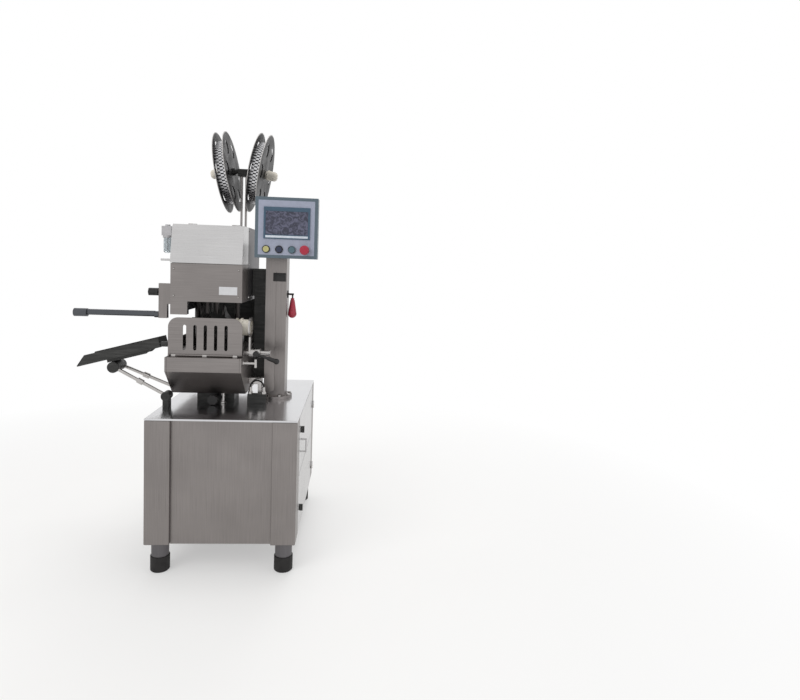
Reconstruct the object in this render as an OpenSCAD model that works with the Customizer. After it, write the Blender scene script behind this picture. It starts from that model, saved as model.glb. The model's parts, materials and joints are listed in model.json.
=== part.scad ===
// Automatic double clipper for sausage casings: a cabinet on feet with a column, a lower
// housing, a clipping head with its punches, dies and gates, two reels of clips and a
// swivelling control panel. Millimetres, +Z up, +X towards the casing feed, the operator
// stands at -Y. The origin is on the floor under the middle of the whole outline.

/* [Cabinet] */
// Width of the cabinet
cab_w = 660; // [620:10:740]
// Depth of the cabinet
cab_d = 930; // [860:10:980]
// Distance of the cabinet's middle behind the zero line
cab_y = 40; // [36:1:60]
// Height of the worktop above the floor
cab_top = 701; // [660:1:760]
// Height of the cabinet's lower edge above the floor
skirt_z = 135; // [120:1:160]
// Width of each corner post
post_w = 110; // [90:2:120]
// Thickness of the folded sheet
sheet = 3; // [2:0.5:4]
// Thickness of the worktop
top_t = 9; // [6:1:14]
// How far the panels sit behind the posts
recess = 18; // [12:1:30]
// Diameter of a leg tube
leg_d = 76; // [60:1:80]
// Diameter of a rubber foot cup
foot_d = 84; // [84:1:100]
// Height of a rubber foot cup
foot_h = 70; // [50:1:90]
// Thickness of the cup's floor
foot_floor = 12; // [8:1:20]

/* [Door] */
// Gap round the door
door_gap = 2; // [1:0.5:5]
// Largest radius of a turn latch
latch_r = 15; // [12:1:20]
// Distance of the latches from the front edge of the door
latch_inset = 60; // [40:1:90]
// Distance of each latch from the door's top and bottom edge
latch_edge = 75; // [50:1:120]

/* [Column] */
// Width of the column
col_w = 104; // [90:2:108]
// Depth of the column
col_d = 110; // [100:2:116]
// Distance of the column's middle from the cabinet's middle
col_x = 166; // [160:1:172]
// Place of the column's middle from front to back
col_y = 60; // [54:1:66]
// Height of the column above its flange
col_h = 765; // [740:5:800]
// Wall of the column tube
col_wall = 5; // [3:1:8]
// Radius of the round flange
flange_r = 84; // [82:1:88]
// Thickness of the round flange
flange_t = 14; // [8:1:20]
// Bolts in the flange
flange_bolts_n = 8; // [6:1:8]

/* [Housing] */
// Space between the worktop and the belly of the housing
belly_lift = 51; // [40:1:60]
// Height of the housing from belly to deck
housing_h = 208; // [195:1:225]
// Place of the housing's left end plate
housing_l = -300; // [-315:1:-290]
// Place of the housing's right end plate
housing_r = 48; // [44:1:60]
// Front of the housing's upright band
band_y = -250; // [-265:1:-245]
// Height of the upright band
band_h = 67; // [58:1:76]
// Drop of the band's fold below the deck
band_drop = 18; // [18:1:24]
// Front of the narrow belly
belly_y = -130; // [-140:1:-110]
// Wall of the housing
housing_wall = 4; // [3:1:6]
// Thickness of the end plates
end_t = 8; // [6:1:10]

/* [Head] */
// Free height between the deck and the head
throat_h = 238; // [234:1:246]
// Height of the clip axis above the deck
axis_h = 118; // [114:1:122]
// Place of the clip axis from front to back
clip_y = -145; // [-150:1:-140]
// Middle of the two clipping stations
clip_x = -110; // [-115:1:-105]
// Distance between the two clipping stations
clip_pitch = 44; // [36:1:48]
// Left side of the head
head_l = -291; // [-294:1:-286]
// Right side of the head
head_r = 37; // [34:1:40]
// Front face of the head
head_front = -200; // [-205:1:-195]
// Rear face of the head
head_back = 265; // [250:1:290]
// Height of the head
head_h = 359; // [352:1:380]
// Height of the front panel below the cover's lip
panel_h = 179; // [172:1:186]
// Line of the cover's hinge from front to back
hinge_y = -55; // [-60:1:-45]
// How far the cover's lip stands out
lip_out = 10; // [6:1:14]
// How far the cover leans back over its height
cover_lean = 32; // [22:1:40]
// Thickness of the head's cheeks
cheek_t = 8; // [6:1:10]
// Width of the leg beside the throat
leg_w = 78; // [60:1:86]
// Drop of that leg below the head
leg_drop = 62; // [40:1:66]

/* [Guard] */
// Height of the slotted guard
guard_h = 176; // [160:1:178]
// Thickness of the guard
guard_t = 3; // [2:0.5:4]
// Radius of the guard's upper corners
guard_r = 45; // [8:1:50]
// Number of slots
slot_n = 5; // [3:1:6]
// Width of a slot
slot_w = 15; // [10:1:18]
// Height of a slot
slot_h = 119; // [90:1:125]
// Distance of the slots above the guard's hinge
slot_foot = 23; // [20:1:30]
// Distance between slots
slot_pitch = 47.5; // [40:0.5:50]

/* [Mechanism] */
// Travel of the punch ram
ram_travel = 55; // [45:1:58]
// Travel of the die block
die_travel = 25; // [20:1:28]
// Opening angle of each gate
gate_open = 22; // [18:1:23]
// Diameter of the guide rods and of the gate shaft
rod_d = 24; // [20:1:28]
// Length of a gate arm from the shaft to the clip axis
gate_reach = 185; // [180:1:190]
// Thickness of a gate plate
gate_t = 6; // [4:1:6]
// Radial running clearance
run = 0.05; // [0.02:0.01:0.1]

/* [Reels] */
// Radius of a reel flange
reel_r = 203; // [185:1:205]
// Width of a reel over its flanges
reel_w = 52; // [44:1:56]
// Radius of the coil of clips
coil_r = 158; // [130:1:170]
// Lean of each reel
reel_lean = 9.5; // [7:0.5:10]
// Distance of each reel's middle from the post
reel_off = 82; // [80:1:90]
// Place of the reel post across the head
post_x = -23; // [-30:1:-6]
// Place of the reel post from front to back
post_y = 125; // [120:1:140]
// Height of the reels' middle above the head
reel_rise = 286; // [272:1:310]
// Clips in one turn of the coil
clip_n = 60; // [40:1:72]

/* [Control panel] */
// Width of the panel box
box_w = 290; // [280:1:310]
// Height of the panel box
box_h = 283; // [276:1:300]
// Depth of the panel box
box_d = 70; // [60:1:76]
// Left edge of the panel box
box_x = 91; // [88:1:100]
// Front of the panel box
box_y = -200; // [-210:1:-190]
// How far the box hangs below the column's top
box_drop = 67; // [60:1:80]
// Radius of a push button
button_r = 14; // [10:1:16]
// Travel of a push button
button_travel = 4; // [2:0.5:5]
// Radius of the emergency stop
estop_r = 22; // [18:1:26]
// Travel of the emergency stop
estop_travel = 5; // [3:0.5:6]

/* [Outfeed] */
// Length of the chute
chute_l = 395; // [370:5:410]
// Width of the chute
chute_w = 120; // [110:2:130]
// Height of the chute's sides
chute_side = 45; // [35:1:50]
// Slope of the chute
chute_slope = 15; // [12:1:17]
// Height of the chute's pivot above the deck
chute_rise = 36; // [32:1:38]
// Length of the loop rail
rail_l = 388; // [340:1:420]
// Height of the loop rail above the clip axis
rail_rise = 51; // [48:1:56]

/* [Brake] */
// Outer radius of the casing brake ring
ring_r = 44; // [40:1:44]
// Bore radius of the casing brake ring
ring_bore = 33; // [28:1:34]
// Travel of the brake along its bar
brake_travel = 40; // [30:1:40]

/* [Hidden] */
$fn = 64;
touch = 0.3;
belly_z = cab_top + belly_lift;
deck_z = belly_z + housing_h;
clip_z = deck_z + axis_h;
head_z = deck_z + throat_h;
head_top = head_z + head_h;
lip_z = head_z + panel_h;
col_base = cab_top + flange_t;
col_top = col_base + col_h;
reel_z = head_top + reel_rise;
deck_t = 8;
rear_y = head_back - 10;
cheek_in = 4;
cheek_l = head_l + cheek_in;
cheek_r = head_r - cheek_in;
beam_z = lip_z + 52;
beam_t = 20;
rod_r = rod_d / 2;
rod_y = -40;
rod_off = 95;
gate_y = clip_y + gate_reach;
hinge_z = head_top + 5;
hinge_r = 5;
pin_r = 3;
guard_y = head_front - 10;
guard_pin_y = guard_y - 6;
guard_pin_r = 3;
guard_knuckle_r = 5;
guard_z = deck_z - 12;
guard_l = head_l - 5;
guard_e = head_r + 7;
band_top = deck_z - band_drop;
cab_front = cab_y - cab_d / 2;
cab_rear = cab_y + cab_d / 2;
door_y = cab_rear - post_w;
door_front = cab_front + post_w;
door_x = cab_w / 2;
door_t = recess;
door_pin_x = door_x + 6;

// Finishes as the machine shows them
steel = "#a9a7a6";
bright = "#c8c7c7";
dark = "#3a3938";
black = "#1c1b1b";
white = "#dddad4";
red = "#b8324a";

// A block between two corners
module block(lo, hi) {
    translate(lo) cube(hi - lo);
}

// Round bars along each axis
module bar_x(r, x0, x1, y, z) {
    translate([x0, y, z]) rotate([0, 90, 0]) cylinder(r = r, h = x1 - x0);
}

module bar_y(r, y0, y1, x, z) {
    translate([x, y1, z]) rotate([90, 0, 0]) cylinder(r = r, h = y1 - y0);
}

module bar_z(r, z0, z1, x, y) {
    translate([x, y, z0]) cylinder(r = r, h = z1 - z0);
}

// A Y-Z outline made solid from x0 to x1
module side_plate(x0, x1) {
    translate([x0, 0, 0]) rotate([90, 0, 90]) linear_extrude(x1 - x0) children();
}

// An X-Z outline made solid from y0 to y1
module front_plate(y0, y1) {
    translate([0, y1, 0]) rotate([90, 0, 0]) linear_extrude(y1 - y0) children();
}

// A rectangle with its upper corners rounded
module round_top(x0, x1, z0, z1, r) {
    translate([x0, z0]) square([x1 - x0, z1 - z0 - r]);
    translate([x0 + r, z0]) square([x1 - x0 - 2 * r, z1 - z0]);
    for (x = [x0 + r, x1 - r]) translate([x, z1 - r]) circle(r);
}

// A flat bar with round ends, along Z, in the X-Z plane
module stadium(x, z0, z1, w) {
    translate([x - w / 2, z0 + w / 2]) square([w, z1 - z0 - w]);
    for (z = [z0 + w / 2, z1 - w / 2]) translate([x, z]) circle(w / 2);
}

// The four corners of the cabinet, given the inset of a piece's middle
module at_corners(inset) {
    for (sx = [-1, 1], sy = [-1, 1])
        translate([sx * (cab_w / 2 - inset), cab_y + sy * (cab_d / 2 - inset), 0]) children();
}

module corner_posts() {
    color(steel) at_corners(post_w / 2) difference() {
        translate([-post_w / 2, -post_w / 2, skirt_z]) cube([post_w, post_w, cab_top - top_t - skirt_z]);
        translate([-post_w / 2 + sheet, -post_w / 2 + sheet, skirt_z + sheet])
            cube([post_w - 2 * sheet, post_w - 2 * sheet, cab_top - top_t - skirt_z - 2 * sheet]);
    }
}

module worktop() {
    color(bright) translate([-cab_w / 2, cab_front, cab_top - top_t]) cube([cab_w, cab_d, top_t]);
}

// Panels between the posts on the front, the left and the rear, and the floor pan
module base_panels() {
    top = cab_top - top_t;
    px = cab_w / 2 - post_w;
    front = cab_front + recess;
    rear = cab_rear - recess;
    left = -cab_w / 2 + recess;
    color(steel) {
        block([-px, front, skirt_z], [px, front + sheet, top]);
        difference() {
            block([-px, rear - sheet, skirt_z], [px, rear, top]);
            for (i = [0, 1])
                bar_y(inlet_r + run, rear - 2 * sheet, rear + sheet, inlet_x[i], inlet_z);
        }
        block([left, door_front, skirt_z], [left + sheet, door_y, top]);
        block([left + sheet, door_front, skirt_z], [cab_w / 2 - recess - 1, door_y, skirt_z + sheet]);
        block([-px, front + sheet, skirt_z], [px, rear - sheet, skirt_z + sheet]);
    }
}

leg_inset = 56;

module leg_tubes() {
    color(steel) at_corners(leg_inset) difference() {
        bar_z(leg_d / 2, foot_floor, skirt_z, 0, 0);
        bar_z(leg_d / 2 - sheet, foot_floor - 1, skirt_z + 1, 0, 0);
    }
}

module foot_cups() {
    color(black) at_corners(leg_inset) difference() {
        union() {
            bar_z(foot_d / 2 - 4, 0, 4, 0, 0);
            bar_z(foot_d / 2, 4, foot_h, 0, 0);
        }
        bar_z(leg_d / 2 + run, foot_floor, foot_h + 1, 0, 0);
    }
}

// Terminal box on the floor pan, with its raised lid
ebox_w = 160;
ebox_d = 360;
ebox_h = 380;
ebox_wall = 2;
ebox_gap = 59;
ebox_lid_t = 8;
ebox_lid_rim = 10;

module electrical_box() {
    z = skirt_z + sheet;
    x0 = -cab_w / 2 + recess + sheet + ebox_gap;
    x1 = x0 + ebox_w;
    y0 = cab_y - ebox_d / 2;
    y1 = cab_y + ebox_d / 2;
    color(steel) {
        difference() {
            block([x0, y0, z], [x1, y1, z + ebox_h]);
            block([x0 + ebox_wall, y0 + ebox_wall, z + ebox_wall],
                [x1 - ebox_wall, y1 - ebox_wall, z + ebox_h - ebox_wall]);
        }
        block([x1 - ebox_wall / 2, y0 + ebox_lid_rim, z + ebox_lid_rim],
            [x1 + ebox_lid_t, y1 - ebox_lid_rim, z + ebox_h - ebox_lid_rim]);
    }
}

// Cable gland and air inlet in the rear panel
inlet_inset = 100;
inlet_x = [post_w + inlet_inset - cab_w / 2, cab_w / 2 - post_w - inlet_inset];
inlet_r = 10;
inlet_bore = [7, 5.7];
inlet_z = skirt_z + 120;
inlet_l = 22;
inlet_in = 12;
inlet_nut_r = 16;
inlet_nut_t = 6;

module rear_inlets() {
    rear = cab_rear - recess;
    for (i = [0, 1]) color(i == 0 ? black : steel) difference() {
        union() {
            bar_y(inlet_r, rear - inlet_in, rear + inlet_l - inlet_in, inlet_x[i], inlet_z);
            translate([inlet_x[i], rear + inlet_nut_t, inlet_z]) rotate([90, 0, 0])
                cylinder(r = inlet_nut_r, h = inlet_nut_t, $fn = 6);
        }
        bar_y(inlet_bore[i], rear - inlet_in - 1, rear + inlet_l, inlet_x[i], inlet_z);
    }
}

door_hinge_z = [skirt_z + 90, cab_top - top_t - 110];
door_hinge_h = 40;

module right_door() {
    z0 = skirt_z + door_gap;
    z1 = cab_top - top_t - door_gap;
    y0 = door_front + door_gap;
    y1 = door_y - door_gap;
    x0 = door_x - door_t;
    color(bright) {
        difference() {
            block([x0, y0, z0], [door_x, y1, z1]);
            block([x0 - 1, y0 + sheet, z0 + sheet], [door_x - sheet, y1 - sheet, z1 - sheet]);
            for (z = latch_z) bar_x(latch_shaft_r + run, x0, door_x + 1, latch_y, z);
        }
        for (z = door_hinge_z) difference() {
            union() {
                bar_z(6, z, z + door_hinge_h / 2 - 0.2, door_pin_x, door_y);
                block([door_x, door_y - 30, z], [door_x + 1.5, door_y - 1, z + door_hinge_h / 2 - 0.2]);
            }
            bar_z(pin_r + run, z - 1, z + door_hinge_h, door_pin_x, door_y);
        }
        // Loop handle and the raised middle rib
        bar_x(4, door_x - sheet, door_x + 26, latch_y, handle_z[0]);
        bar_x(4, door_x - sheet, door_x + 26, latch_y, handle_z[1]);
        bar_z(4, handle_z[0] - 4, handle_z[1] + 4, door_x + 26, latch_y);
        block([door_x, y0 + 12, (z0 + z1) / 2 - 6], [door_x + 1.5, y1 - 34, (z0 + z1) / 2 + 6]);
    }
}

latch_y = door_front + latch_inset;
latch_z = [skirt_z + latch_edge + 32, cab_top - top_t - latch_edge];
latch_shaft_r = 5;
handle_z = [latch_z[1] - 105, latch_z[1] - 47];

// Turn latch: a wing on a disc, its shaft through the door and a cam behind
module latch(z) {
    color(dark) {
        bar_x(latch_r, door_x + touch, door_x + 6, latch_y, z);
        block([door_x + 6, latch_y - 4, z - latch_r], [door_x + 16, latch_y + 4, z + latch_r]);
        bar_x(latch_shaft_r, door_x - 12, door_x + 7, latch_y, z);
        block([door_x - 12, latch_y - 6, z - 6], [door_x - 9, latch_y + 6, z + 30]);
    }
}

module latch_upper() {
    latch(latch_z[1]);
}

module latch_lower() {
    latch(latch_z[0]);
}

module column() {
    color(steel) {
        difference() {
            bar_z(flange_r, cab_top, col_base, col_x, col_y);
            for (i = [0:flange_bolts_n - 1]) flange_at(i) bar_z(5, cab_top - 1, col_base + 1, 0, 0);
        }
        difference() {
            translate([col_x - col_w / 2, col_y - col_d / 2, col_base]) cube([col_w, col_d, col_h]);
            translate([col_x - col_w / 2 + col_wall, col_y - col_d / 2 + col_wall, col_base + col_wall])
                cube([col_w - 2 * col_wall, col_d - 2 * col_wall, col_h - 2 * col_wall]);
            // Seam down the front
            translate([col_x - 1, col_y - col_d / 2 - 1, col_base + 30]) cube([2, 2.5, col_h - 160]);
        }
    }
}

module flange_at(i) {
    a = (i + 0.5) * 360 / flange_bolts_n;
    r = flange_r - 10;
    translate([col_x + r * cos(a), col_y + r * sin(a), 0]) children();
}

module flange_bolts() {
    color(bright) for (i = [0:flange_bolts_n - 1]) flange_at(i) {
        bar_z(4.9, cab_top, col_base + 1, 0, 0);
        translate([0, 0, col_base]) cylinder(r = 8.5, h = 7, $fn = 6);
    }
}

// Two arms from the column to the machine, the foot bracket and the pedestal
module support_brackets() {
    face = col_x - col_w / 2;
    color(steel) {
        block([head_r, col_y + arm_set, head_z + 20], [face, col_y + arm_set + arm_d, lip_z - 20]);
        block([housing_r, col_y + arm_set, belly_z + 40], [face, col_y + arm_set + arm_d, head_z + 40]);
    }
    color(bright) {
        block([foot_x, foot_y, cab_top], [foot_x + foot_t, foot_y + foot_w, foot_z]);
        block([housing_r, foot_y, foot_z - foot_b], [foot_x + foot_t, foot_y + foot_w, foot_z]);
        bar_z(stud_r, cab_top, belly_z, lock_x + 40, belly_y + 2 * stud_r);
        translate([lock_x + 40, belly_y + 2 * stud_r, cab_top]) cylinder(r = 2 * stud_r - 2, h = 10, $fn = 6);
    }
    color(dark) difference() {
        block([clip_x - 90, -60, cab_top], [clip_x + 90, 60, belly_z]);
        bar_y(lock_shaft_r + run, -61, -28, lock_x, lock_z);
    }
}

arm_set = 5;
arm_d = 45;
foot_t = 18;
foot_w = 36;
foot_b = 32;
foot_x = col_x - col_w / 2 - foot_t - 1;
foot_y = col_y - flange_r - foot_w - 4;
foot_z = belly_z + 67;
stud_r = 8;

// Outline of the lower housing, drawn in by a wall and by the deck's thickness
shelf_y = guard_y + 20;
belly_slope = atan2(band_top - band_h - belly_z, belly_y - band_y);

module housing_outline(wall, deck) {
    polygon([
        [belly_y + wall * tan(belly_slope / 2), belly_z + wall],
        [band_y + wall, band_top - band_h + wall * tan(45 - belly_slope / 2)],
        [band_y + wall, band_top - wall],
        [shelf_y + wall, band_top - wall],
        [shelf_y + wall, deck_z - deck],
        [rear_y - wall, deck_z - deck],
        [rear_y - wall, belly_z + wall]
    ]);
}

module lower_housing() {
    color(steel) difference() {
        side_plate(housing_l + end_t, housing_r - end_t) difference() {
            housing_outline(0, 0);
            housing_outline(housing_wall, deck_t);
        }
        bar_z(die_rod_r + run, deck_z - 2 * deck_t, deck_z + 1, clip_x, die_y);
    }
}

// End plates with cut corners; the left one rises higher because it carries the chute
end_rise = [52, 12];
end_cut = 20;

module end_outline(rise) {
    front = shelf_y - 14;
    top = deck_z + rise;
    polygon([
        [belly_y, belly_z],
        [band_y, band_top - band_h],
        [band_y, band_top],
        [front, band_top],
        [front + end_cut, top],
        [rear_y - end_cut, top],
        [rear_y, top - end_cut],
        [rear_y, belly_z]
    ]);
}

module end_plates() {
    color(steel) {
        side_plate(housing_l, housing_l + end_t) end_outline(end_rise[0]);
        difference() {
            side_plate(housing_r - end_t, housing_r) end_outline(end_rise[1]);
            bar_x(t_shaft_r + run, housing_r - end_t - 1, housing_r + 1, t_y, t_z);
        }
    }
}

module rear_wall() {
    color(steel) {
        block([cheek_l, rear_y - rear_t, deck_z], [cheek_r, rear_y, head_z]);
        for (x = [cheek_l, cheek_r - rear_t])
            block([x, rear_y - rear_t - rear_fold, deck_z], [x + rear_t, rear_y - rear_t / 2, head_z]);
    }
}

rear_t = 6;
rear_fold = 40;

// Fixed halves of the guard, cover and door hinges with their pins
guard_lug_x = [head_l + 12, head_l + 154, head_r - 34];
guard_lug_w = 20;
cover_hinge_x = [head_l + 60, head_r - 60];
cover_hinge_w = 40;

module hinges() {
    color(bright) {
        for (x = guard_lug_x) {
            bar_x(guard_knuckle_r, x, x + guard_lug_w, guard_pin_y, guard_z);
            block([x, guard_pin_y - 5, band_top], [x + guard_lug_w, guard_pin_y + 5, guard_z]);
        }
        bar_x(guard_pin_r, guard_lug_x[0], guard_lug_x[2] + guard_lug_w, guard_pin_y, guard_z);
        for (x = cover_hinge_x) {
            bar_x(hinge_r, x - cover_hinge_w / 2, x, hinge_y, hinge_z);
            bar_x(pin_r, x - cover_hinge_w / 2, x + cover_hinge_w / 2, hinge_y, hinge_z);
            block([x - cover_hinge_w / 2, hinge_y + 1, head_top], [x, hinge_y + 24, head_top + 1.5]);
        }
        for (z = door_hinge_z) {
            bar_z(6, z - door_hinge_h / 2, z - 0.2, door_pin_x, door_y);
            bar_z(pin_r, z - door_hinge_h / 2, z + door_hinge_h / 2, door_pin_x, door_y);
            block([door_x, door_y + 1, z - door_hinge_h / 2], [door_x + 1.5, door_y + 30, z - 0.2]);
        }
    }
}

module slotted_guard() {
    slots_x = (guard_l + guard_e) / 2 - (slot_n - 1) / 2 * slot_pitch;
    slots_z = guard_z + slot_foot;
    color(steel) {
        difference() {
            front_plate(guard_y - guard_t, guard_y) difference() {
                round_top(guard_l, guard_e, guard_z, guard_z + guard_h, guard_r);
                for (i = [0:slot_n - 1]) stadium(slots_x + i * slot_pitch, slots_z, slots_z + slot_h, slot_w);
            }
            for (x = guard_lug_x)
                bar_x(guard_knuckle_r + 1, x - touch, x + guard_lug_w + touch, guard_pin_y, guard_z);
            bar_x(guard_pin_r + run, guard_l - 1, guard_e + 1, guard_pin_y, guard_z);
        }
        for (i = [0, 1]) difference() {
            bar_x(guard_knuckle_r, guard_lug_x[i] + guard_lug_w + touch, guard_lug_x[i + 1] - touch,
                guard_pin_y, guard_z);
            bar_x(guard_pin_r + run, head_l, head_r, guard_pin_y, guard_z);
        }
    }
}

// Two cheeks, the beam that carries the ram cylinder and the leg beside the throat
cheek_front = head_front + 5;

module head_frame() {
    color(steel) {
        for (x = [cheek_l, cheek_r - cheek_t]) side_plate(x, x + cheek_t) polygon([
            [cheek_front, head_z],
            [cheek_front, lip_z - 4],
            [cheek_front + cover_lean, head_top - 8],
            [rear_y, head_top - 8],
            [rear_y, head_z]
        ]);
        difference() {
            block([cheek_l + cheek_t / 2, rod_y - 55, beam_z], [cheek_r - cheek_t / 2, rod_y + 75, beam_z + beam_t]);
            bar_z(ram_rod_r + 2, beam_z - 1, beam_z + beam_t + 1, clip_x, rod_y);
        }
        block([cheek_l, cheek_front, head_z - leg_drop],
            [head_l + leg_w - 4, cheek_front + leg_d2, head_z + cheek_t]);
        block([cheek_l, cheek_front, head_z - leg_drop],
            [cheek_l + cheek_t, rear_y - rear_t - rear_fold - 1, head_z + cheek_t]);
    }
}

// Front skin with the leg beside the throat, folded back along both sides
module head_front_panel() {
    top = lip_z - 2;
    color(steel) {
        front_plate(head_front, head_front + sheet) polygon([
            [head_l, top],
            [head_r, top],
            [head_r, head_z],
            [head_l + leg_w, head_z],
            [head_l + leg_w, head_z - leg_drop],
            [head_l, head_z - leg_drop]
        ]);
        for (x = [head_l, head_r - sheet])
            block([x, head_front + sheet, head_z], [x + sheet, hinge_y - 1, top]);
        block([head_l, head_front + sheet / 2, head_z - leg_drop],
            [head_l + sheet, cheek_front + leg_d2, head_z + sheet]);
        for (x = [cheek_l + cheek_t / 2, cheek_r - cheek_t / 2], z = [head_z + boss_in, top - boss_in])
            bar_y(boss_r, head_front + sheet / 2, cheek_front, x, z);
    }
}

// Bosses that seat the front skin on the cheeks
boss_r = 2.5;
boss_in = 20;

// Depth of the leg beside the throat
leg_d2 = 36;

module head_rear_cover() {
    color(steel) difference() {
        block([head_l, hinge_y, head_z], [head_r, head_back, head_top]);
        block([head_l + sheet, hinge_y - 1, head_z - 1], [head_r - sheet, head_back - sheet, head_top - sheet]);
    }
}

// Hinged cover: a leaning front, a roof and two sides, open below and behind
cover_bend = 16;

module cover_outline(wall) {
    front = head_front - lip_out;
    lean = cover_lean * (head_top - cover_bend - lip_z) / (head_top - lip_z);
    polygon([
        [front + wall, lip_z - wall],
        [front + wall + lean, head_top - cover_bend],
        [front + wall * 0.6 + lean + cover_bend, head_top - wall],
        [hinge_y - 1 + wall, head_top - wall],
        [hinge_y - 1 + wall, lip_z - wall]
    ]);
}

module head_cover() {
    front = head_front - lip_out;
    color(bright) {
        difference() {
            side_plate(head_l, head_r) cover_outline(0);
            side_plate(head_l + sheet, head_r - sheet) cover_outline(sheet);
        }
        bar_x(5, head_l - 45, head_l + 1, front + 16, lip_z + 12);
        for (x = cover_hinge_x) difference() {
            union() {
                bar_x(hinge_r, x + 0.2, x + cover_hinge_w / 2, hinge_y, hinge_z);
                block([x + 0.2, hinge_y - 24, head_top], [x + cover_hinge_w / 2, hinge_y - 1, head_top + 1.5]);
            }
            bar_x(pin_r + run, x, x + cover_hinge_w, hinge_y, hinge_z);
        }
    }
}

// Clipping mechanism: cylinders, rods, ram with two punches and a knife, dies and gates
ram_rod_r = 12;
die_rod_r = 12;
die_y = clip_y + 30;
ram_z = clip_z + 147;
ram_h = 50;
die_z = deck_z + 40;
die_h = 25;
punch_r = 6;
station_w = 70;
barrel_z = beam_z + beam_t;
ram_barrel_h = 95;
barrel_stock = 10;

module air_cylinders() {
    color(bright) {
        difference() {
            union() {
                bar_z(40, barrel_z, barrel_z + ram_barrel_h, clip_x, rod_y);
                translate([clip_x - 44, rod_y - 44, barrel_z]) cube([88, 88, 14]);
            }
            bar_z(ram_rod_r + run, barrel_z - 1, barrel_z + ram_barrel_h - barrel_stock, clip_x, rod_y);
        }
        difference() {
            bar_z(30, belly_z + 38, deck_z - deck_t, clip_x, die_y);
            bar_z(die_rod_r + run, belly_z + 38 + barrel_stock, deck_z, clip_x, die_y);
        }
    }
}

module guide_rods() {
    color(bright) for (s = [-1, 1]) bar_z(rod_r, deck_z, beam_z, clip_x + s * rod_off, rod_y);
}

module punch_ram() {
    color(bright) {
        difference() {
            block([clip_x - rod_off - 25, rod_y - 35, ram_z], [clip_x + rod_off + 25, rod_y + 35, ram_z + ram_h]);
            for (s = [-1, 1])
                bar_z(rod_r + run, ram_z - 1, ram_z + ram_h + 1, clip_x + s * rod_off, rod_y);
        }
        block([clip_x - station_w / 2, clip_y - 15, ram_z], [clip_x + station_w / 2, rod_y - 35, ram_z + 40]);
        bar_z(ram_rod_r, ram_z + ram_h - 1, barrel_z + ram_barrel_h - barrel_stock - 5, clip_x, rod_y);
        for (s = [-1, 1]) translate([clip_x + s * clip_pitch / 2, clip_y, 0])
            block([-punch_r, -10, clip_z + ram_travel + 7], [punch_r, 10, ram_z]);
        block([clip_x - 1, clip_y - 15, clip_z + ram_travel + 15], [clip_x + 1, clip_y + 15, ram_z]);
    }
}

module die_block() {
    top = clip_z - die_travel - 8;
    color(bright) {
        block([clip_x - station_w / 2, clip_y - 20, die_z], [clip_x + station_w / 2, die_y + 20, die_z + die_h]);
        bar_z(die_rod_r, belly_z + 38 + barrel_stock + 5, die_z + 1, clip_x, die_y);
        for (s = [-1, 1]) translate([clip_x + s * clip_pitch / 2, clip_y, 0]) difference() {
            block([-punch_r, -10, die_z + die_h - 1], [punch_r, 10, top]);
            bar_x(5, -punch_r - 1, punch_r + 1, 0, top + 2);
        }
    }
}

// Places of the gate plates along the shaft: upper ones outside, lower ones inside
gate_upper_off = station_w / 2 + 15;
gate_lower_off = gate_upper_off - gate_t - 1;
gate_hub_r = 22;
gate_tip = 20;
gate_crown = 32;
gate_x = [clip_x - gate_upper_off - gate_t / 2, clip_x - gate_lower_off + gate_t / 2,
    clip_x + gate_lower_off - gate_t / 2, clip_x + gate_upper_off + gate_t / 2];

module gate_shaft() {
    x0 = clip_x - rod_off - 50;
    x1 = clip_x + rod_off + 15;
    sleeve_r = rod_r + 6;
    color(bright) {
        bar_x(rod_r, x0, x1, gate_y, clip_z);
        bar_x(sleeve_r, x0, gate_x[0] - touch, gate_y, clip_z);
        bar_x(sleeve_r, gate_x[1] + touch, gate_x[2] - touch, gate_y, clip_z);
        bar_x(sleeve_r, gate_x[3] + touch, x1, gate_y, clip_z);
        for (x = [x0, x1 - 12]) side_plate(x, x + 12) {
            translate([gate_y - 24, deck_z]) square([48, clip_z - deck_z]);
            translate([gate_y, clip_z]) circle(24);
        }
    }
}

// A gate plate in its closed place, with the notch that gathers the casing
module gate_plate() {
    rotate([90, 0, 90]) translate([0, 0, -gate_t / 2]) linear_extrude(gate_t) difference() {
        union() {
            circle(gate_hub_r);
            polygon([
                [0, 20],
                [-gate_reach + 45, 20],
                [-gate_reach + 30, gate_crown],
                [-gate_reach - gate_tip, gate_crown],
                [-gate_reach - gate_tip, -18],
                [-gate_reach - 16, -18],
                [-gate_reach, 4],
                [-gate_reach + 16, -18],
                [0, -18]
            ]);
        }
        circle(rod_r + run);
    }
}

module upper_gates() {
    color(steel) for (s = [-1, 1]) translate([clip_x + s * gate_upper_off, gate_y, clip_z])
        rotate([-gate_open, 0, 0]) gate_plate();
}

module lower_gates() {
    color(steel) for (s = [-1, 1]) translate([clip_x + s * gate_lower_off, gate_y, clip_z])
        rotate([gate_open, 0, 0]) mirror([0, 0, 1]) gate_plate();
}

// Air lubricator on the head's left side
lub_x = head_l - 68;
lub_y = -22;
lub_top = head_top - 6;
bowl_r = 20;
bowl_h = 74;
lub_h = 46;
lub_collar = 10;

module lubricator_head() {
    z = lub_top - lub_h;
    color(bright) {
        block([lub_x - 23, lub_y - 23, z], [lub_x + 23, lub_y + 23, lub_top]);
        bar_z(12, lub_top, lub_top + 8, lub_x, lub_y);
        block([lub_x + 22, lub_y - 8, z + 4], [head_l, lub_y + 8, z + 36]);
    }
    color(dark) bar_z(bowl_r + 3, z - lub_collar, z, lub_x, lub_y);
    color(steel) bar_z(2.5, z - lub_collar - bowl_h + 12, z, lub_x, lub_y);
}

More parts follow.
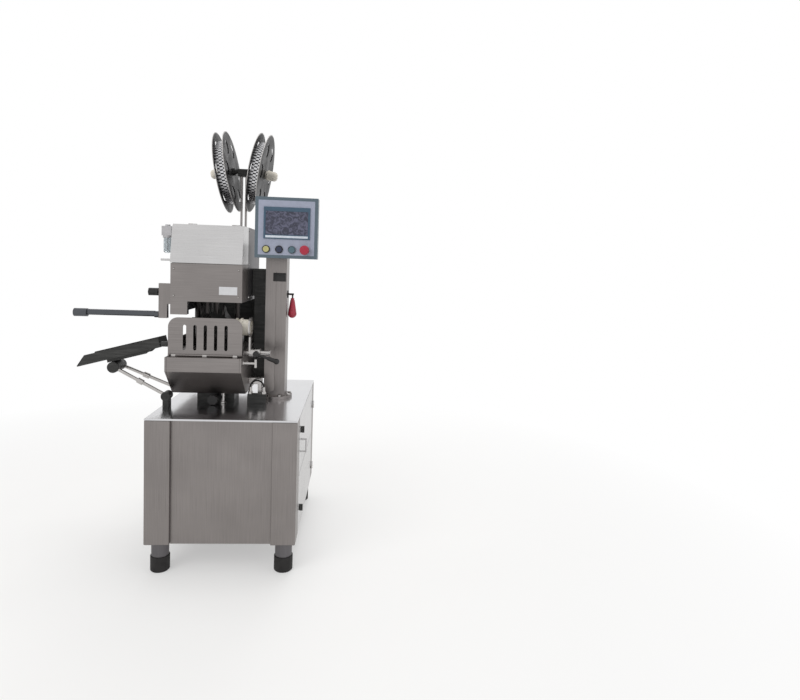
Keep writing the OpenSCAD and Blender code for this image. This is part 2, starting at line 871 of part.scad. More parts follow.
module lubricator_bowl() {
    z = lub_top - lub_h - lub_collar;
    color("#b9c0c2") difference() {
        union() {
            bar_z(bowl_r, z - bowl_h + 8, z, lub_x, lub_y);
            translate([lub_x, lub_y, z - bowl_h]) cylinder(r1 = bowl_r - 7, r2 = bowl_r, h = 8);
        }
        bar_z(bowl_r - 3, z - bowl_h + 8, z + 1, lub_x, lub_y);
    }
}

// Loop rail beside the outfeed, with its bracket and clamp knob
rail_z = clip_z + rail_rise;
bracket_x = head_l - 67;
bracket_w = 40;
bracket_d = 24;
knob_z = head_z + 38;
knob_r = 18;
knob_l = 44;
knob_gap = 3;
knob_shaft_r = 6;

module rail_bracket() {
    y0 = clip_y - bracket_d / 2;
    y1 = clip_y + bracket_d / 2;
    color(steel) difference() {
        union() {
            block([bracket_x, y0, rail_z - 16], [bracket_x + bracket_w, y1, head_z]);
            block([bracket_x, y0, head_z - 18], [head_l, y1, head_z + 79]);
        }
        bar_x(knob_shaft_r + run, bracket_x - 1, bracket_x + 16, clip_y, knob_z);
    }
}

module loop_rail() {
    x1 = bracket_x;
    x0 = x1 - rail_l;
    color(dark) {
        bar_x(11, x0, x1, clip_y, rail_z);
        bar_x(19, x0, x0 + 60, clip_y, rail_z);
        bar_x(15, x1 - 20, x1, clip_y, rail_z);
    }
    color(white) block([x0 + 60, clip_y - 9, rail_z + 5], [x1 - 20, clip_y + 9, rail_z + 16]);
}

module rail_knob() {
    color(black) {
        bar_x(knob_shaft_r, bracket_x - knob_gap - 1, bracket_x + 14, clip_y, knob_z);
        difference() {
            bar_x(knob_r, bracket_x - knob_gap - knob_l, bracket_x - knob_gap, clip_y, knob_z);
            for (a = [0:60:300]) translate([0, clip_y, knob_z]) rotate([a, 0, 0])
                bar_x(5, bracket_x - knob_gap - knob_l - 1, bracket_x - knob_gap - 10, 0, knob_r + 3);
        }
    }
}

// Knob that locks the housing on its pedestal
lock_x = clip_x + 8;
lock_y = belly_y - 10;
lock_z = cab_top + belly_lift / 2;
lock_r = 24;
lock_l = 26;
lock_shaft_r = 8;

module lock_knob() {
    color(black) {
        bar_y(lock_shaft_r, lock_y - 1, -30, lock_x, lock_z);
        difference() {
            bar_y(lock_r, lock_y - lock_l, lock_y, lock_x, lock_z);
            for (a = [0:45:315]) translate([lock_x, 0, lock_z]) rotate([0, a, 0])
                bar_y(5, lock_y - lock_l - 1, lock_y - 6, lock_r + 2, 0);
        }
    }
}

// T-handle in the right end plate
t_shaft_r = 6;
t_y = band_y + 30;
t_z = band_top - 25;
t_l = 60;
t_half = 20;

module t_handle() {
    color(bright) {
        bar_x(t_shaft_r, housing_r - end_t, housing_r + t_l, t_y, t_z);
        bar_x(10, housing_r + touch, housing_r + 8, t_y, t_z);
        bar_z(t_shaft_r, t_z - t_half, t_z + t_half, housing_r + t_l, t_y);
    }
}

// Air hose arch between two fittings on a valve block
hose_y = foot_y - 26;
hose_x = housing_r + 48;
hose_bend = 32;
hose_r = 4;
valve_h = 44;
valve_d = 36;
nut_r = 12;
nut_h = 12;
fitting_h = 34;

module hose_fittings() {
    z = cab_top + valve_h;
    color(dark) block([hose_x - hose_bend - nut_r, hose_y - valve_d / 2, cab_top],
        [hose_x + hose_bend + nut_r, hose_y + valve_d / 2, z]);
    color(bright) for (s = [-1, 1]) translate([hose_x + s * hose_bend, hose_y, z]) {
        cylinder(r = nut_r, h = nut_h, $fn = 6);
        bar_z(nut_r - 4, nut_h - 1, fitting_h, 0, 0);
    }
}

module air_hose() {
    color(black) translate([hose_x, hose_y, cab_top + valve_h + fitting_h]) rotate([90, 0, 0])
        rotate_extrude(angle = 180) translate([hose_bend, 0]) circle(hose_r);
}

// A round bar between two points of the plane y
module strut_bar(p, q, y, r) {
    d = q - p;
    translate([p[0], y, p[1]]) rotate([0, atan2(d[0], d[1]), 0]) cylinder(r = r, h = norm(d));
}

// Chute on its pivot, sloping down to the left
chute_px = housing_l - 22;
chute_pz = deck_z + chute_rise;
chute_pin_r = 5;
chute_lug_w = 12;
chute_lug_y = chute_w / 2 - 15;
chute_wall = 2.5;
floor_z = -12;
chute_start = -14;
saddle_x = -252;
saddle_h = 15;
strut_tube_r = 26;
foot_tube_r = 21;
chute_cut = 36;

module chute_frame() {
    translate([chute_px, clip_y, chute_pz]) rotate([0, -chute_slope, 0]) children();
}

module chute_tray() {
    color(dark) chute_frame() {
        difference() {
            front_plate(-chute_w / 2, chute_w / 2) polygon([
                [chute_start, floor_z],
                [chute_start, floor_z + chute_side],
                [-chute_l + chute_cut, floor_z + chute_side],
                [-chute_l - 8, floor_z + 2 * chute_wall],
                [-chute_l - 8, floor_z]
            ]);
            block([-chute_l - 9, -chute_w / 2 + chute_wall, floor_z + chute_wall],
                [0, chute_w / 2 - chute_wall, floor_z + chute_side + 1]);
        }
        for (y = [-chute_lug_y, chute_lug_y]) difference() {
            union() {
                bar_y(9, y - chute_lug_w / 2, y + chute_lug_w / 2, 0, 0);
                block([-34, y - chute_lug_w / 2, floor_z], [0, y + chute_lug_w / 2, 6]);
            }
            bar_y(chute_pin_r + run, y - chute_lug_w, y + chute_lug_w, 0, 0);
        }
        block([saddle_x - 22, -chute_w / 3, floor_z - saddle_h], [saddle_x + 22, chute_w / 3, floor_z]);
        for (y = [-chute_w / 3, chute_w / 3 - chute_wall]) front_plate(y, y + chute_wall) polygon([
            [-60, floor_z],
            [saddle_x + 22, floor_z],
            [saddle_x + 22, floor_z - saddle_h],
            [-90, floor_z - saddle_h]
        ]);
    }
}

// Fixed prop under the chute: pivot ears and pin, two bars with collars, round end tubes and a pad
strut_y = [-36, 40];
strut_r = 8;
pad_t = 8;

module chute_strut() {
    lift = floor_z - saddle_h - touch - strut_tube_r;
    foot = [-cab_w / 2 + foot_tube_r, cab_top + 2 * foot_tube_r + 5];
    pad = [housing_l - pad_t / 2, belly_z + 26];
    tip = [chute_px + saddle_x * cos(chute_slope) - lift * sin(chute_slope),
        chute_pz + saddle_x * sin(chute_slope) + lift * cos(chute_slope)];
    ear = chute_lug_y + chute_lug_w / 2 + touch;
    color(black) {
        bar_y(strut_tube_r, clip_y - 52, clip_y + 52, tip[0], tip[1]);
        bar_y(foot_tube_r, clip_y - 60, clip_y - 8, foot[0], foot[1]);
        block([foot[0] - 14, clip_y - 54, cab_top], [foot[0] + 14, clip_y - 14, foot[1]]);
        block([housing_l - pad_t, clip_y + strut_y[1] - 15, pad[1] - 18],
            [housing_l, clip_y + strut_y[1] + 15, pad[1] + 18]);
    }
    color(bright) {
        for (i = [0, 1]) {
            low = i == 0 ? foot : pad;
            mid = (low + tip) / 2;
            grow = (tip - low) / norm(tip - low) * 14;
            strut_bar(low, tip, clip_y + strut_y[i], strut_r);
            strut_bar(mid - grow, mid + grow, clip_y + strut_y[i], strut_r + 5);
        }
        bar_y(chute_pin_r, clip_y - ear - 8, clip_y + ear + 8, chute_px, chute_pz);
        for (y = [clip_y - ear - 8, clip_y + ear])
            block([chute_px - 8, y, chute_pz - 12], [housing_l, y + 8, chute_pz + 12]);
    }
}

// Casing brake: fixed bar, sliding arm with its clamp lever, and the double-lipped ring
brake_z = deck_z - 4;
brake_gap = 18;
brake_plate_x = housing_r + brake_gap;
brake_plate_t = 8;
brake_hub_l = 52;
brake_hub_r = 22;
brake_end = 8;
brake_bar_l = brake_gap + brake_hub_l + brake_travel + brake_end;
ring_neck = 5;
ring_l = 64;
lever_x = brake_plate_x + 36;
lever_l = 104;
lever_grip = 46;
lever_drop = 19;

module brake_bar() {
    x1 = housing_r + brake_bar_l;
    color(bright) {
        bar_x(rod_r, housing_r, x1, clip_y, brake_z);
        bar_x(rod_r + 4, x1 - brake_end / 2, x1, clip_y, brake_z);
    }
}

module brake_arm() {
    x1 = brake_plate_x + brake_plate_t;
    color(bright) difference() {
        union() {
            side_plate(brake_plate_x, x1) {
                translate([clip_y, clip_z]) circle(ring_r + 6);
                translate([clip_y - brake_hub_r, brake_z]) square([2 * brake_hub_r, clip_z - brake_z]);
                translate([clip_y, brake_z]) circle(brake_hub_r);
            }
            bar_x(brake_hub_r, brake_plate_x, brake_plate_x + brake_hub_l, clip_y, brake_z);
        }
        bar_x(rod_r + run, brake_plate_x - 1, brake_plate_x + brake_hub_l + 1, clip_y, brake_z);
        bar_x(ring_bore + 3, brake_plate_x - 1, x1 + 1, clip_y, clip_z);
        bar_y(6 + run, clip_y - brake_hub_r - 1, clip_y - rod_r - 2, lever_x, brake_z);
    }
}

module brake_ring() {
    x0 = brake_plate_x - ring_l;
    color(white) difference() {
        union() {
            bar_x(ring_r, x0, x0 + 9, clip_y, clip_z);
            bar_x(ring_r - 6, x0 + 9, x0 + 22, clip_y, clip_z);
            bar_x(ring_r, x0 + 22, x0 + 32, clip_y, clip_z);
            bar_x(ring_bore + ring_neck, x0 + 32, brake_plate_x, clip_y, clip_z);
        }
        bar_x(ring_bore, x0 - 1, brake_plate_x + 1, clip_y, clip_z);
    }
}

module clamp_lever() {
    y = clip_y - brake_hub_r;
    along = [cos(lever_drop), -sin(lever_drop)];
    hub = [lever_x, brake_z];
    tip = hub + along * lever_l;
    grip = hub + along * (lever_l - lever_grip);
    color(black) {
        bar_y(6, y - 8, y + 4, lever_x, brake_z);
        bar_y(13, y - 24, y - touch, lever_x, brake_z);
        strut_bar(hub, grip, y - 14, 6.5);
        translate([grip[0], y - 14, grip[1]]) rotate([0, 90 + lever_drop, 0])
            cylinder(r1 = 9, r2 = 11, h = lever_grip);
        translate([tip[0], y - 14, tip[1]]) sphere(14);
    }
}

// Reels: a leaning axle on each side of the post, with the reel's middle at its origin
spindle_r = 12;
reel_hub_r = 60;
rim_t = 3;

module reel_axle(side) {
    translate([post_x + side * reel_off, post_y, reel_z]) rotate([0, side * (90 + reel_lean), 0]) children();
}

module reel_post() {
    inner = (reel_off - 22) / cos(reel_lean);
    color(steel) {
        block([post_x - 34, post_y - 44, head_top], [post_x + 34, post_y + 44, head_top + 8]);
        for (s = [-1, 1]) translate([post_x + s * 11, post_y, 0])
            block([-3, -16, head_top + 8], [3, 16, reel_z + 10]);
    }
    color(dark) {
        block([post_x - 28, post_y - 25, reel_z - 18], [post_x + 28, post_y + 25, reel_z + 18]);
        for (s = [-1, 1]) reel_axle(s) {
            bar_z(spindle_r, -inner, reel_w / 2 + spindle_out, 0, 0);
            bar_z(spindle_r + 7, -reel_w / 2 - 12, -reel_w / 2 - touch, 0, 0);
        }
    }
}

spindle_out = 44;
hub_collar_r = 20;
hub_collar_l = 8;
hub_grip_r = 26;
hub_grip_l = 42;
hub_end_l = 10;

module reel_knobs() {
    z = reel_w / 2 + touch;
    grip_z = z + hub_collar_l;
    color(white) for (s = [-1, 1]) reel_axle(s) difference() {
        union() {
            bar_z(hub_collar_r, z, grip_z, 0, 0);
            translate([0, 0, grip_z]) cylinder(r1 = hub_grip_r, r2 = hub_grip_r * 0.9, h = hub_grip_l);
            translate([0, 0, grip_z + hub_grip_l])
                cylinder(r1 = hub_grip_r * 0.9, r2 = hub_grip_r * 0.6, h = hub_end_l);
        }
        bar_z(spindle_r + run, z - 1, reel_w / 2 + spindle_out, 0, 0);
    }
}

// Two flanges with round windows on a hub
module reel() {
    difference() {
        union() {
            bar_z(reel_hub_r, -reel_w / 2, reel_w / 2, 0, 0);
            for (z = [-reel_w / 2, reel_w / 2 - rim_t]) difference() {
                bar_z(reel_r, z, z + rim_t, 0, 0);
                for (a = [30:60:330]) rotate([0, 0, a])
                    bar_z(34, z - 1, z + rim_t + 1, (reel_hub_r + reel_r) / 2, 0);
            }
        }
        bar_z(spindle_r + run, -reel_w / 2 - 1, reel_w / 2 + 1, 0, 0);
    }
}

// The coil: three rows of clips wound on the hub, each row half a clip out of step
module clip_coil() {
    width = (reel_w - 2 * rim_t - 2 * touch) / 3;
    pitch = 360 / clip_n;
    root_r = coil_r - 8;
    outline = [for (i = [0:clip_n - 1], k = [0:3])
        let (a = pitch * (i + [0, 0.62, 0.68, 0.94][k]), r = k < 2 ? coil_r : root_r) r * [cos(a), sin(a)]];
    difference() {
        for (row = [0:2]) rotate([0, 0, row * pitch / 2])
            translate([0, 0, (row - 1.5) * width]) linear_extrude(width) polygon(outline);
        bar_z(reel_hub_r + touch, -reel_w, reel_w, 0, 0);
    }
}

module left_reel() {
    color(steel) reel_axle(-1) reel();
}

module left_clips() {
    color(bright) reel_axle(-1) clip_coil();
}

module right_reel() {
    color(steel) reel_axle(1) reel();
}

module right_clips() {
    color(bright) reel_axle(1) clip_coil();
}

// Control panel on a swivel arm in front of the column
box_z = col_top - box_drop;
box_wall = 3;
swivel_y = box_y + box_d + 25;
swivel_r = 8;
ear_z = [box_z + 17, box_z + 61];
ear_t = 8;
button_x = [53, 113, 172, 232];
button_z = box_z + 41;
collar_h = 6;
stem_r = 9;
estop_stem_r = 12;

module panel_arm() {
    face = col_y - col_d / 2;
    color(dark) {
        block([col_x - 40, face - 8, box_z + 8], [col_x + 40, face, col_top]);
        for (z = ear_z) {
            bar_z(20, z, z + ear_t, col_x, swivel_y);
            block([col_x - 20, swivel_y, z], [col_x + 20, face - 8, z + ear_t]);
        }
        bar_z(swivel_r, ear_z[0], ear_z[1] + ear_t, col_x, swivel_y);
    }
}

module panel_box() {
    color(steel) {
        difference() {
            union() {
                block([box_x, box_y, box_z], [box_x + box_w, box_y + box_d, box_z + box_h]);
                for (i = [0:2]) bar_y(button_r + 4, box_y - collar_h, box_y + 1, box_x + button_x[i], button_z);
                bar_y(estop_stem_r + 6, box_y - collar_h, box_y + 1, box_x + button_x[3], button_z);
            }
            block([box_x + box_wall, box_y + box_wall, box_z + box_wall],
                [box_x + box_w - box_wall, box_y + box_d - box_wall, box_z + box_h - box_wall]);
            for (i = [0:2]) {
                bar_y(button_r + touch, box_y - collar_h - 1, box_y, box_x + button_x[i], button_z);
                bar_y(stem_r + touch, box_y - 1, box_y + box_wall + 1, box_x + button_x[i], button_z);
            }
            bar_y(estop_stem_r + touch, box_y - collar_h - 1, box_y + box_wall + 1, box_x + button_x[3], button_z);
        }
        difference() {
            union() {
                bar_z(18, ear_z[0] + ear_t + touch, ear_z[1] - touch, col_x, swivel_y);
                block([col_x - 12, box_y + box_d - 1, ear_z[0] + ear_t + touch],
                    [col_x + 12, swivel_y, ear_z[1] - touch]);
            }
            bar_z(swivel_r + run, ear_z[0], ear_z[1] + ear_t, col_x, swivel_y);
        }
    }
}

// Screen with its frame: margins from the box's left, right, top and the button row
screen_left = 40;
screen_right = 36;
screen_top = 46;
screen_bottom = 90;
screen_frame = 9;
screen_band = 19;

module panel_screen() {
    x0 = box_x + screen_left;
    x1 = box_x + box_w - screen_right;
    z0 = box_z + screen_bottom;
    z1 = box_z + box_h - screen_top;
    color("#435d70") difference() {
        block([x0, box_y - 5, z0], [x1, box_y, z1]);
        block([x0 + screen_frame, box_y - 6, z0 + screen_band], [x1 - screen_frame, box_y - 3, z1 - screen_band]);
    }
}

module push_button(i) {
    x = box_x + button_x[i];
    bar_y(button_r, box_y - collar_h - button_travel, box_y - button_travel - 1, x, button_z);
    bar_y(stem_r, box_y - button_travel - 2, box_y + 20, x, button_z);
}

module start_button() {
    color("#cfc98a") push_button(0);
}

module select_button() {
    color("#303851") push_button(1);
}

module jog_button() {
    color("#546a75") push_button(2);
}

module estop_button() {
    x = box_x + button_x[3];
    y = box_y - collar_h - estop_travel - 1;
    color(red) {
        bar_y(estop_r, y - 9, y, x, button_z);
        translate([x, y - 9, button_z]) rotate([90, 0, 0]) cylinder(r1 = estop_r, r2 = estop_r - 6, h = 5);
        bar_y(estop_stem_r, y - 1, box_y + 20, x, button_z);
    }
}

// Hand pendant hanging on a hook at the column's right side
hook_x = col_x + col_w / 2 + 25;
hook_y = col_y;
hook_z = col_base + 517;
grip_r = 22;
grip_h = 70;

module pendant_hook() {
    color(black) {
        block([col_x + col_w / 2, hook_y - 14, hook_z - 18], [col_x + col_w / 2 + 4, hook_y + 14, hook_z + 18]);
        bar_x(5, col_x + col_w / 2 + 3, hook_x + 6, hook_y, hook_z);
        bar_z(4, hook_z - 20, hook_z, hook_x, hook_y);
    }
}

module pendant_grip() {
    top = hook_z - 20;
    color(red) translate([hook_x, hook_y, 0]) {
        bar_z(9, top - 12, top, 0, 0);
        translate([0, 0, top - 10 - grip_h]) cylinder(r1 = grip_r, r2 = grip_r / 2, h = grip_h);
        translate([0, 0, top - 10 - grip_h]) sphere(grip_r);
    }
}

// The outline's middle, which the origin lies under
module placed() {
    left = bracket_x - rail_l;
    right = box_x + box_w;
    translate([-(left + right) / 2, -cab_y, 0]) children();
}

placed() {
    corner_posts();
    worktop();
    base_panels();
    leg_tubes();
    foot_cups();
    electrical_box();
    rear_inlets();
    hinges();
    column();
    flange_bolts();
    support_brackets();
    lower_housing();
    end_plates();
    rear_wall();
    head_frame();
    head_front_panel();
    head_rear_cover();
    air_cylinders();
    guide_rods();
    gate_shaft();
    lubricator_head();
    lubricator_bowl();
    rail_bracket();
    loop_rail();
    chute_strut();
    brake_bar();
    air_hose();
    hose_fittings();
    reel_post();
    reel_knobs();
    panel_arm();
    pendant_hook();
    pendant_grip();
    right_door();
    latch_upper();
    latch_lower();
    head_cover();
    slotted_guard();
    left_reel();
    left_clips();
    right_reel();
    right_clips();
    panel_box();
    panel_screen();
    start_button();
    select_button();
    jog_button();
    estop_button();
    chute_tray();
    brake_arm();
    brake_ring();
    clamp_lever();
    t_handle();
    rail_knob();
    lock_knob();
    punch_ram();
    die_block();
    upper_gates();
    lower_gates();
}
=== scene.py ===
"""Looks of a sausage clipper: brushed sheet steel, reels of clips, a control panel and an outfeed chute."""

import json
import math

import bmesh
import bpy
from mathutils import Matrix, Vector


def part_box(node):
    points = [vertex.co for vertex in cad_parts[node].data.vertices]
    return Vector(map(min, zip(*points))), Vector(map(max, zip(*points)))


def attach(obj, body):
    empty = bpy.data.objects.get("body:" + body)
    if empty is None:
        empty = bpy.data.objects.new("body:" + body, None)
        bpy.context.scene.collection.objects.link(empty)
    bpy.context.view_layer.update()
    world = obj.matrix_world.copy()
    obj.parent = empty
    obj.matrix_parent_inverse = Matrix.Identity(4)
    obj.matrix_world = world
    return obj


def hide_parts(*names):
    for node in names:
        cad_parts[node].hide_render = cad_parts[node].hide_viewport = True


bl_info = {
    "name": "Sausage clipper",
    "version": (1, 0, 0),
    "blender": (4, 5, 0),
    "location": "View3D > Sidebar > Clipper",
    "description": "Dresses the sausage clipper's frame with finished pieces, a stage and a camera",
    "category": "Object",
}

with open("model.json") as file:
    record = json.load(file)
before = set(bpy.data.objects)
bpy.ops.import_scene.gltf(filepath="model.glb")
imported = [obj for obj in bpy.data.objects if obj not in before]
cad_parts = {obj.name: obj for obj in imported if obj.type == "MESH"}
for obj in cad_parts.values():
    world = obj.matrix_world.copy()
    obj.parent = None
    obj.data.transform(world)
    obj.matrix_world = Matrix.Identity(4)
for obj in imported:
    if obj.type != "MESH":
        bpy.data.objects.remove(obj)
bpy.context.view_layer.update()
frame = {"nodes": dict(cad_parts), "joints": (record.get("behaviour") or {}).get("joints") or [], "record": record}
NODES = frame["nodes"]
RECORD = frame["record"]
NODE_BODY = {node: body for body, group in RECORD["behaviour"]["bodies"].items() for node in group}
SHARP_ANGLE = math.radians(35)
FLAT_ANGLE = math.radians(0.4)
STREAK_LENGTH = 70
X_AXIS = Vector((1, 0, 0))
Y_AXIS = Vector((0, 1, 0))
Z_AXIS = Vector((0, 0, 1))
# Shape of a screw's head, as shares of its radius and of its height
SCREW_HEIGHT = 0.55
SCREW_TOP = 0.72
SCREW_RIM = 0.34
SCREW_SOCKET = 0.6
SCREW_SIDES = 18


def mm(value):
    """Millimetres as metres."""
    return value * 0.001


def hex_rgb(code):
    """An sRGB hex colour as linear red, green and blue."""
    channels = [int(code[i:i + 2], 16) / 255 for i in (1, 3, 5)]
    return tuple(c / 12.92 if c <= 0.04045 else ((c + 0.055) / 1.055) ** 2.4 for c in channels)


def shade(colour, factor):
    """A colour made lighter or darker."""
    return tuple(min(1.0, c * factor) for c in colour)


# Settings that a user would change


def colour_property(name, description, code):
    return bpy.props.FloatVectorProperty(
        name=name, description=description, subtype="COLOR", size=3, min=0, max=1, default=hex_rgb(code))


def length_property(name, description, value_mm):
    return bpy.props.FloatProperty(
        name=name, description=description, subtype="DISTANCE", unit="LENGTH", min=0, default=mm(value_mm))


class ClipperSizes(bpy.types.PropertyGroup):
    """Sizes of the finishing details."""

    fold: length_property("Fold radius", "Rounding along the folds of sheet steel", 2.2)
    edge: length_property("Edge radius", "Rounding along machined edges", 1.0)
    screw: length_property("Screw radius", "Radius of a cover screw's head", 5.0)
    grain: length_property("Grain width", "Width of the brushed streaks", 3.0)
    film_rim: length_property("Film border", "Width of the dark border round the panel's film", 15.0)
    reel_rim: length_property("Reel rim", "Width of the bare rim of a reel's flange", 3.0)


class ClipperColours(bpy.types.PropertyGroup):
    """Colours of the finishes."""

    steel: colour_property("Steel", "Brushed stainless sheet", "#8a8583")
    # Painted reflection: a lighter copy of the brushed steel, for the slanted head cover and the side door, which
    # mirror bright surroundings
    cover: colour_property("Cover", "Brushed cover, made lighter as painted reflection", "#c6c5c5")
    machined: colour_property("Machined", "Ground and turned steel", "#b9b6b4")
    clips: colour_property("Clips", "Drawn aluminium clip wire", "#d2d2d4")
    # Dark steel: real blackened parts, and painted shade on the support arms, rear wall and chute, which are steel
    # lying in shadow
    dark: colour_property("Dark steel", "Blackened steel, and painted shade on the chute, brackets and rear wall", "#383837")
    # Painted shade: a darker copy of the brushed steel, for the head's frame and rear cover and for the legs,
    # which lie in shadow
    shade: colour_property("Shadowed steel", "Brushed steel darkened as painted shade behind the head", "#6b696b")
    tube: colour_property("Tube", "Blackened loop rail", "#5a5c60")
    reel: colour_property("Reel", "Blackened reel flanges", "#1f1e1f")
    # Painted shade: a darker copy of the ground steel, so that the mechanism in the head's throat stays dark
    tool: colour_property("Tool steel", "Punches, dies, gates and rods, darkened as painted shade", "#3b3837")
    film: colour_property("Film", "Membrane film of the control panel", "#9ba0b2")
    film_rim: colour_property("Film border", "Border round the membrane film", "#55636d")
    rubber: colour_property("Rubber", "Feet and hose", "#1b1919")
    nylon: colour_property("Nylon", "Black knobs and levers", "#181717")
    polymer: colour_property("Polymer", "Off-white ring and hub knobs", "#d8d2c6")
    red: colour_property("Red", "Emergency stop and hand pendant", "#a3253b")
    yellow: colour_property("Yellow", "Start button", "#b8b37c")
    navy: colour_property("Navy", "Select button", "#242b44")
    teal: colour_property("Teal", "Jog button", "#4f6873")
    screen: colour_property("Screen frame", "Blue film round the display", "#3b5366")
    display: colour_property("Display", "Switched-off display", "#565768")
    enamel: colour_property("Enamel", "White enamelled lubricator", "#b6b5b7")
    bowl: colour_property("Bowl", "Clear lubricator bowl", "#d3d9dc")
    strip: colour_property("Strip", "Pale strip under the display", "#cdd3dd")
    powder: colour_property("Powder coat", "Electrical box inside the cabinet", "#b9bab6")
    floor: colour_property("Floor", "Pale studio floor", "#e9e8e6")


# Materials


def add(tree, kind, settings=None, links=None):
    """Adds a shader node, sets its values and links its inputs to other nodes' outputs."""
    node = tree.nodes.new(kind)
    for key, value in (settings or {}).items():
        if isinstance(key, int) or key in node.inputs:
            node.inputs[key].default_value = value
        else:
            setattr(node, key, value)
    for key, (source, output) in (links or {}).items():
        tree.links.new(source.outputs[output], node.inputs[key])
    return node


def start_material(name):
    """A new material with one Principled shader, and the coordinates that its patterns lie on."""
    material = bpy.data.materials.new(name)
    material.use_nodes = True
    tree = material.node_tree
    tree.nodes.clear()
    shader = add(tree, "ShaderNodeBsdfPrincipled")
    add(tree, "ShaderNodeOutputMaterial", links={"Surface": (shader, "BSDF")})
    return material, tree, shader, add(tree, "ShaderNodeTexCoord")


def rgba(colour):
    return (*colour, 1.0)


def per_metre(size_mm):
    """How often a pattern of a given size repeats in a metre."""
    return 1 / mm(size_mm)


def brushed_steel(name, colour, along, grain, roughness=0.34, contrast=0.16):
    """Stainless sheet, belt ground along one axis: fine streaks with a long soft highlight across them.
    The real grit is a tenth of a millimetre, so the streaks are drawn as wide as they need to show."""
    material, tree, shader, coords = start_material(name)
    scale = tuple(1 / (grain * STREAK_LENGTH) if axis == along else 1 / grain for axis in range(3))
    mapping = add(tree, "ShaderNodeMapping", {"Scale": scale}, {"Vector": (coords, "Object")})
    streak = add(tree, "ShaderNodeTexNoise", {"Scale": 1.0, "Detail": 4.0, "Roughness": 0.6},
                 {"Vector": (mapping, "Vector")})
    patch = add(tree, "ShaderNodeTexNoise", {"Scale": per_metre(200), "Detail": 2.0},
                {"Vector": (coords, "Object")})
    tone = add(tree, "ShaderNodeMix", {"data_type": "FLOAT", "Factor": 0.35},
               {"A": (streak, "Fac"), "B": (patch, "Fac")})
    ramp = add(tree, "ShaderNodeMapRange", {"From Min": 0.32, "From Max": 0.68}, {"Value": (tone, "Result")})
    mix = add(tree, "ShaderNodeMix", {"data_type": "RGBA", "A": rgba(shade(colour, 1 - contrast)),
                                      "B": rgba(shade(colour, 1 + contrast))}, {"Factor": (ramp, "Result")})
    tree.links.new(mix.outputs["Result"], shader.inputs["Base Color"])
    rough = add(tree, "ShaderNodeMapRange", {"From Min": 0.3, "From Max": 0.7, "To Min": roughness - 0.07,
                                             "To Max": roughness + 0.09}, {"Value": (streak, "Fac")})
    tree.links.new(rough.outputs["Result"], shader.inputs["Roughness"])
    bump = add(tree, "ShaderNodeBump", {"Strength": 0.10, "Distance": mm(0.4)}, {"Height": (streak, "Fac")})
    tree.links.new(bump.outputs["Normal"], shader.inputs["Normal"])
    shader.inputs["Metallic"].default_value = 1.0
    shader.inputs["Anisotropic"].default_value = 0.45
    return material


def turned_metal(name, colour, roughness=0.22):
    """Ground or turned metal: smooth, with faint handling marks the size of a fingertip."""
    material, tree, shader, coords = start_material(name)
    marks = add(tree, "ShaderNodeTexNoise", {"Scale": per_metre(16), "Detail": 4.0},
                {"Vector": (coords, "Object")})
    rough = add(tree, "ShaderNodeMapRange", {"From Min": 0.3, "From Max": 0.7, "To Min": roughness - 0.06,
                                             "To Max": roughness + 0.1}, {"Value": (marks, "Fac")})
    tree.links.new(rough.outputs["Result"], shader.inputs["Roughness"])
    mix = add(tree, "ShaderNodeMix", {"data_type": "RGBA", "A": rgba(shade(colour, 0.85)),
                                      "B": rgba(shade(colour, 1.12))}, {"Factor": (marks, "Fac")})
    tree.links.new(mix.outputs["Result"], shader.inputs["Base Color"])
    shader.inputs["Metallic"].default_value = 1.0
    return material


def blackened_steel(name, colour):
    """Blackened sheet: dark satin with paler scuffs, long and narrow, where things slide over it."""
    material, tree, shader, coords = start_material(name)
    mapping = add(tree, "ShaderNodeMapping", {"Scale": (per_metre(110), per_metre(11), per_metre(11))},
                  {"Vector": (coords, "Object")})
    scuff = add(tree, "ShaderNodeTexNoise", {"Scale": 1.0, "Detail": 5.0, "Roughness": 0.65},
                {"Vector": (mapping, "Vector")})
    cloud = add(tree, "ShaderNodeTexNoise", {"Scale": per_metre(70), "Detail": 3.0},
                {"Vector": (coords, "Object")})
    worn = add(tree, "ShaderNodeMapRange", {"From Min": 0.42, "From Max": 0.78}, {"Value": (scuff, "Fac")})
    mix = add(tree, "ShaderNodeMix", {"data_type": "RGBA", "A": rgba(shade(colour, 0.85)),
                                      "B": rgba(shade(colour, 1.9))}, {"Factor": (worn, "Result")})
    tree.links.new(mix.outputs["Result"], shader.inputs["Base Color"])
    rough = add(tree, "ShaderNodeMapRange", {"From Min": 0.3, "From Max": 0.7, "To Min": 0.36,
                                             "To Max": 0.56}, {"Value": (cloud, "Fac")})
    tree.links.new(rough.outputs["Result"], shader.inputs["Roughness"])
    shader.inputs["Metallic"].default_value = 0.55
    return material


def moulded_plastic(name, colour, roughness=0.38, grain_mm=1.2, depth=0.08):
    """Injection moulded plastic or rubber: an even colour with a fine spark-eroded grain."""
    material, tree, shader, coords = start_material(name)
    grain = add(tree, "ShaderNodeTexNoise", {"Scale": per_metre(grain_mm), "Detail": 2.0},
                {"Vector": (coords, "Object")})
    wear = add(tree, "ShaderNodeTexNoise", {"Scale": per_metre(28), "Detail": 3.0},
               {"Vector": (coords, "Object")})
    mix = add(tree, "ShaderNodeMix", {"data_type": "RGBA", "A": rgba(shade(colour, 0.86)),
                                      "B": rgba(shade(colour, 1.16))}, {"Factor": (wear, "Fac")})
    tree.links.new(mix.outputs["Result"], shader.inputs["Base Color"])
    rough = add(tree, "ShaderNodeMapRange", {"From Min": 0.3, "From Max": 0.7, "To Min": roughness - 0.06,
                                             "To Max": roughness + 0.1}, {"Value": (wear, "Fac")})
    tree.links.new(rough.outputs["Result"], shader.inputs["Roughness"])
    bump = add(tree, "ShaderNodeBump", {"Strength": depth, "Distance": mm(0.3)}, {"Height": (grain, "Fac")})
    tree.links.new(bump.outputs["Normal"], shader.inputs["Normal"])
    shader.inputs["IOR"].default_value = 1.5
    return material


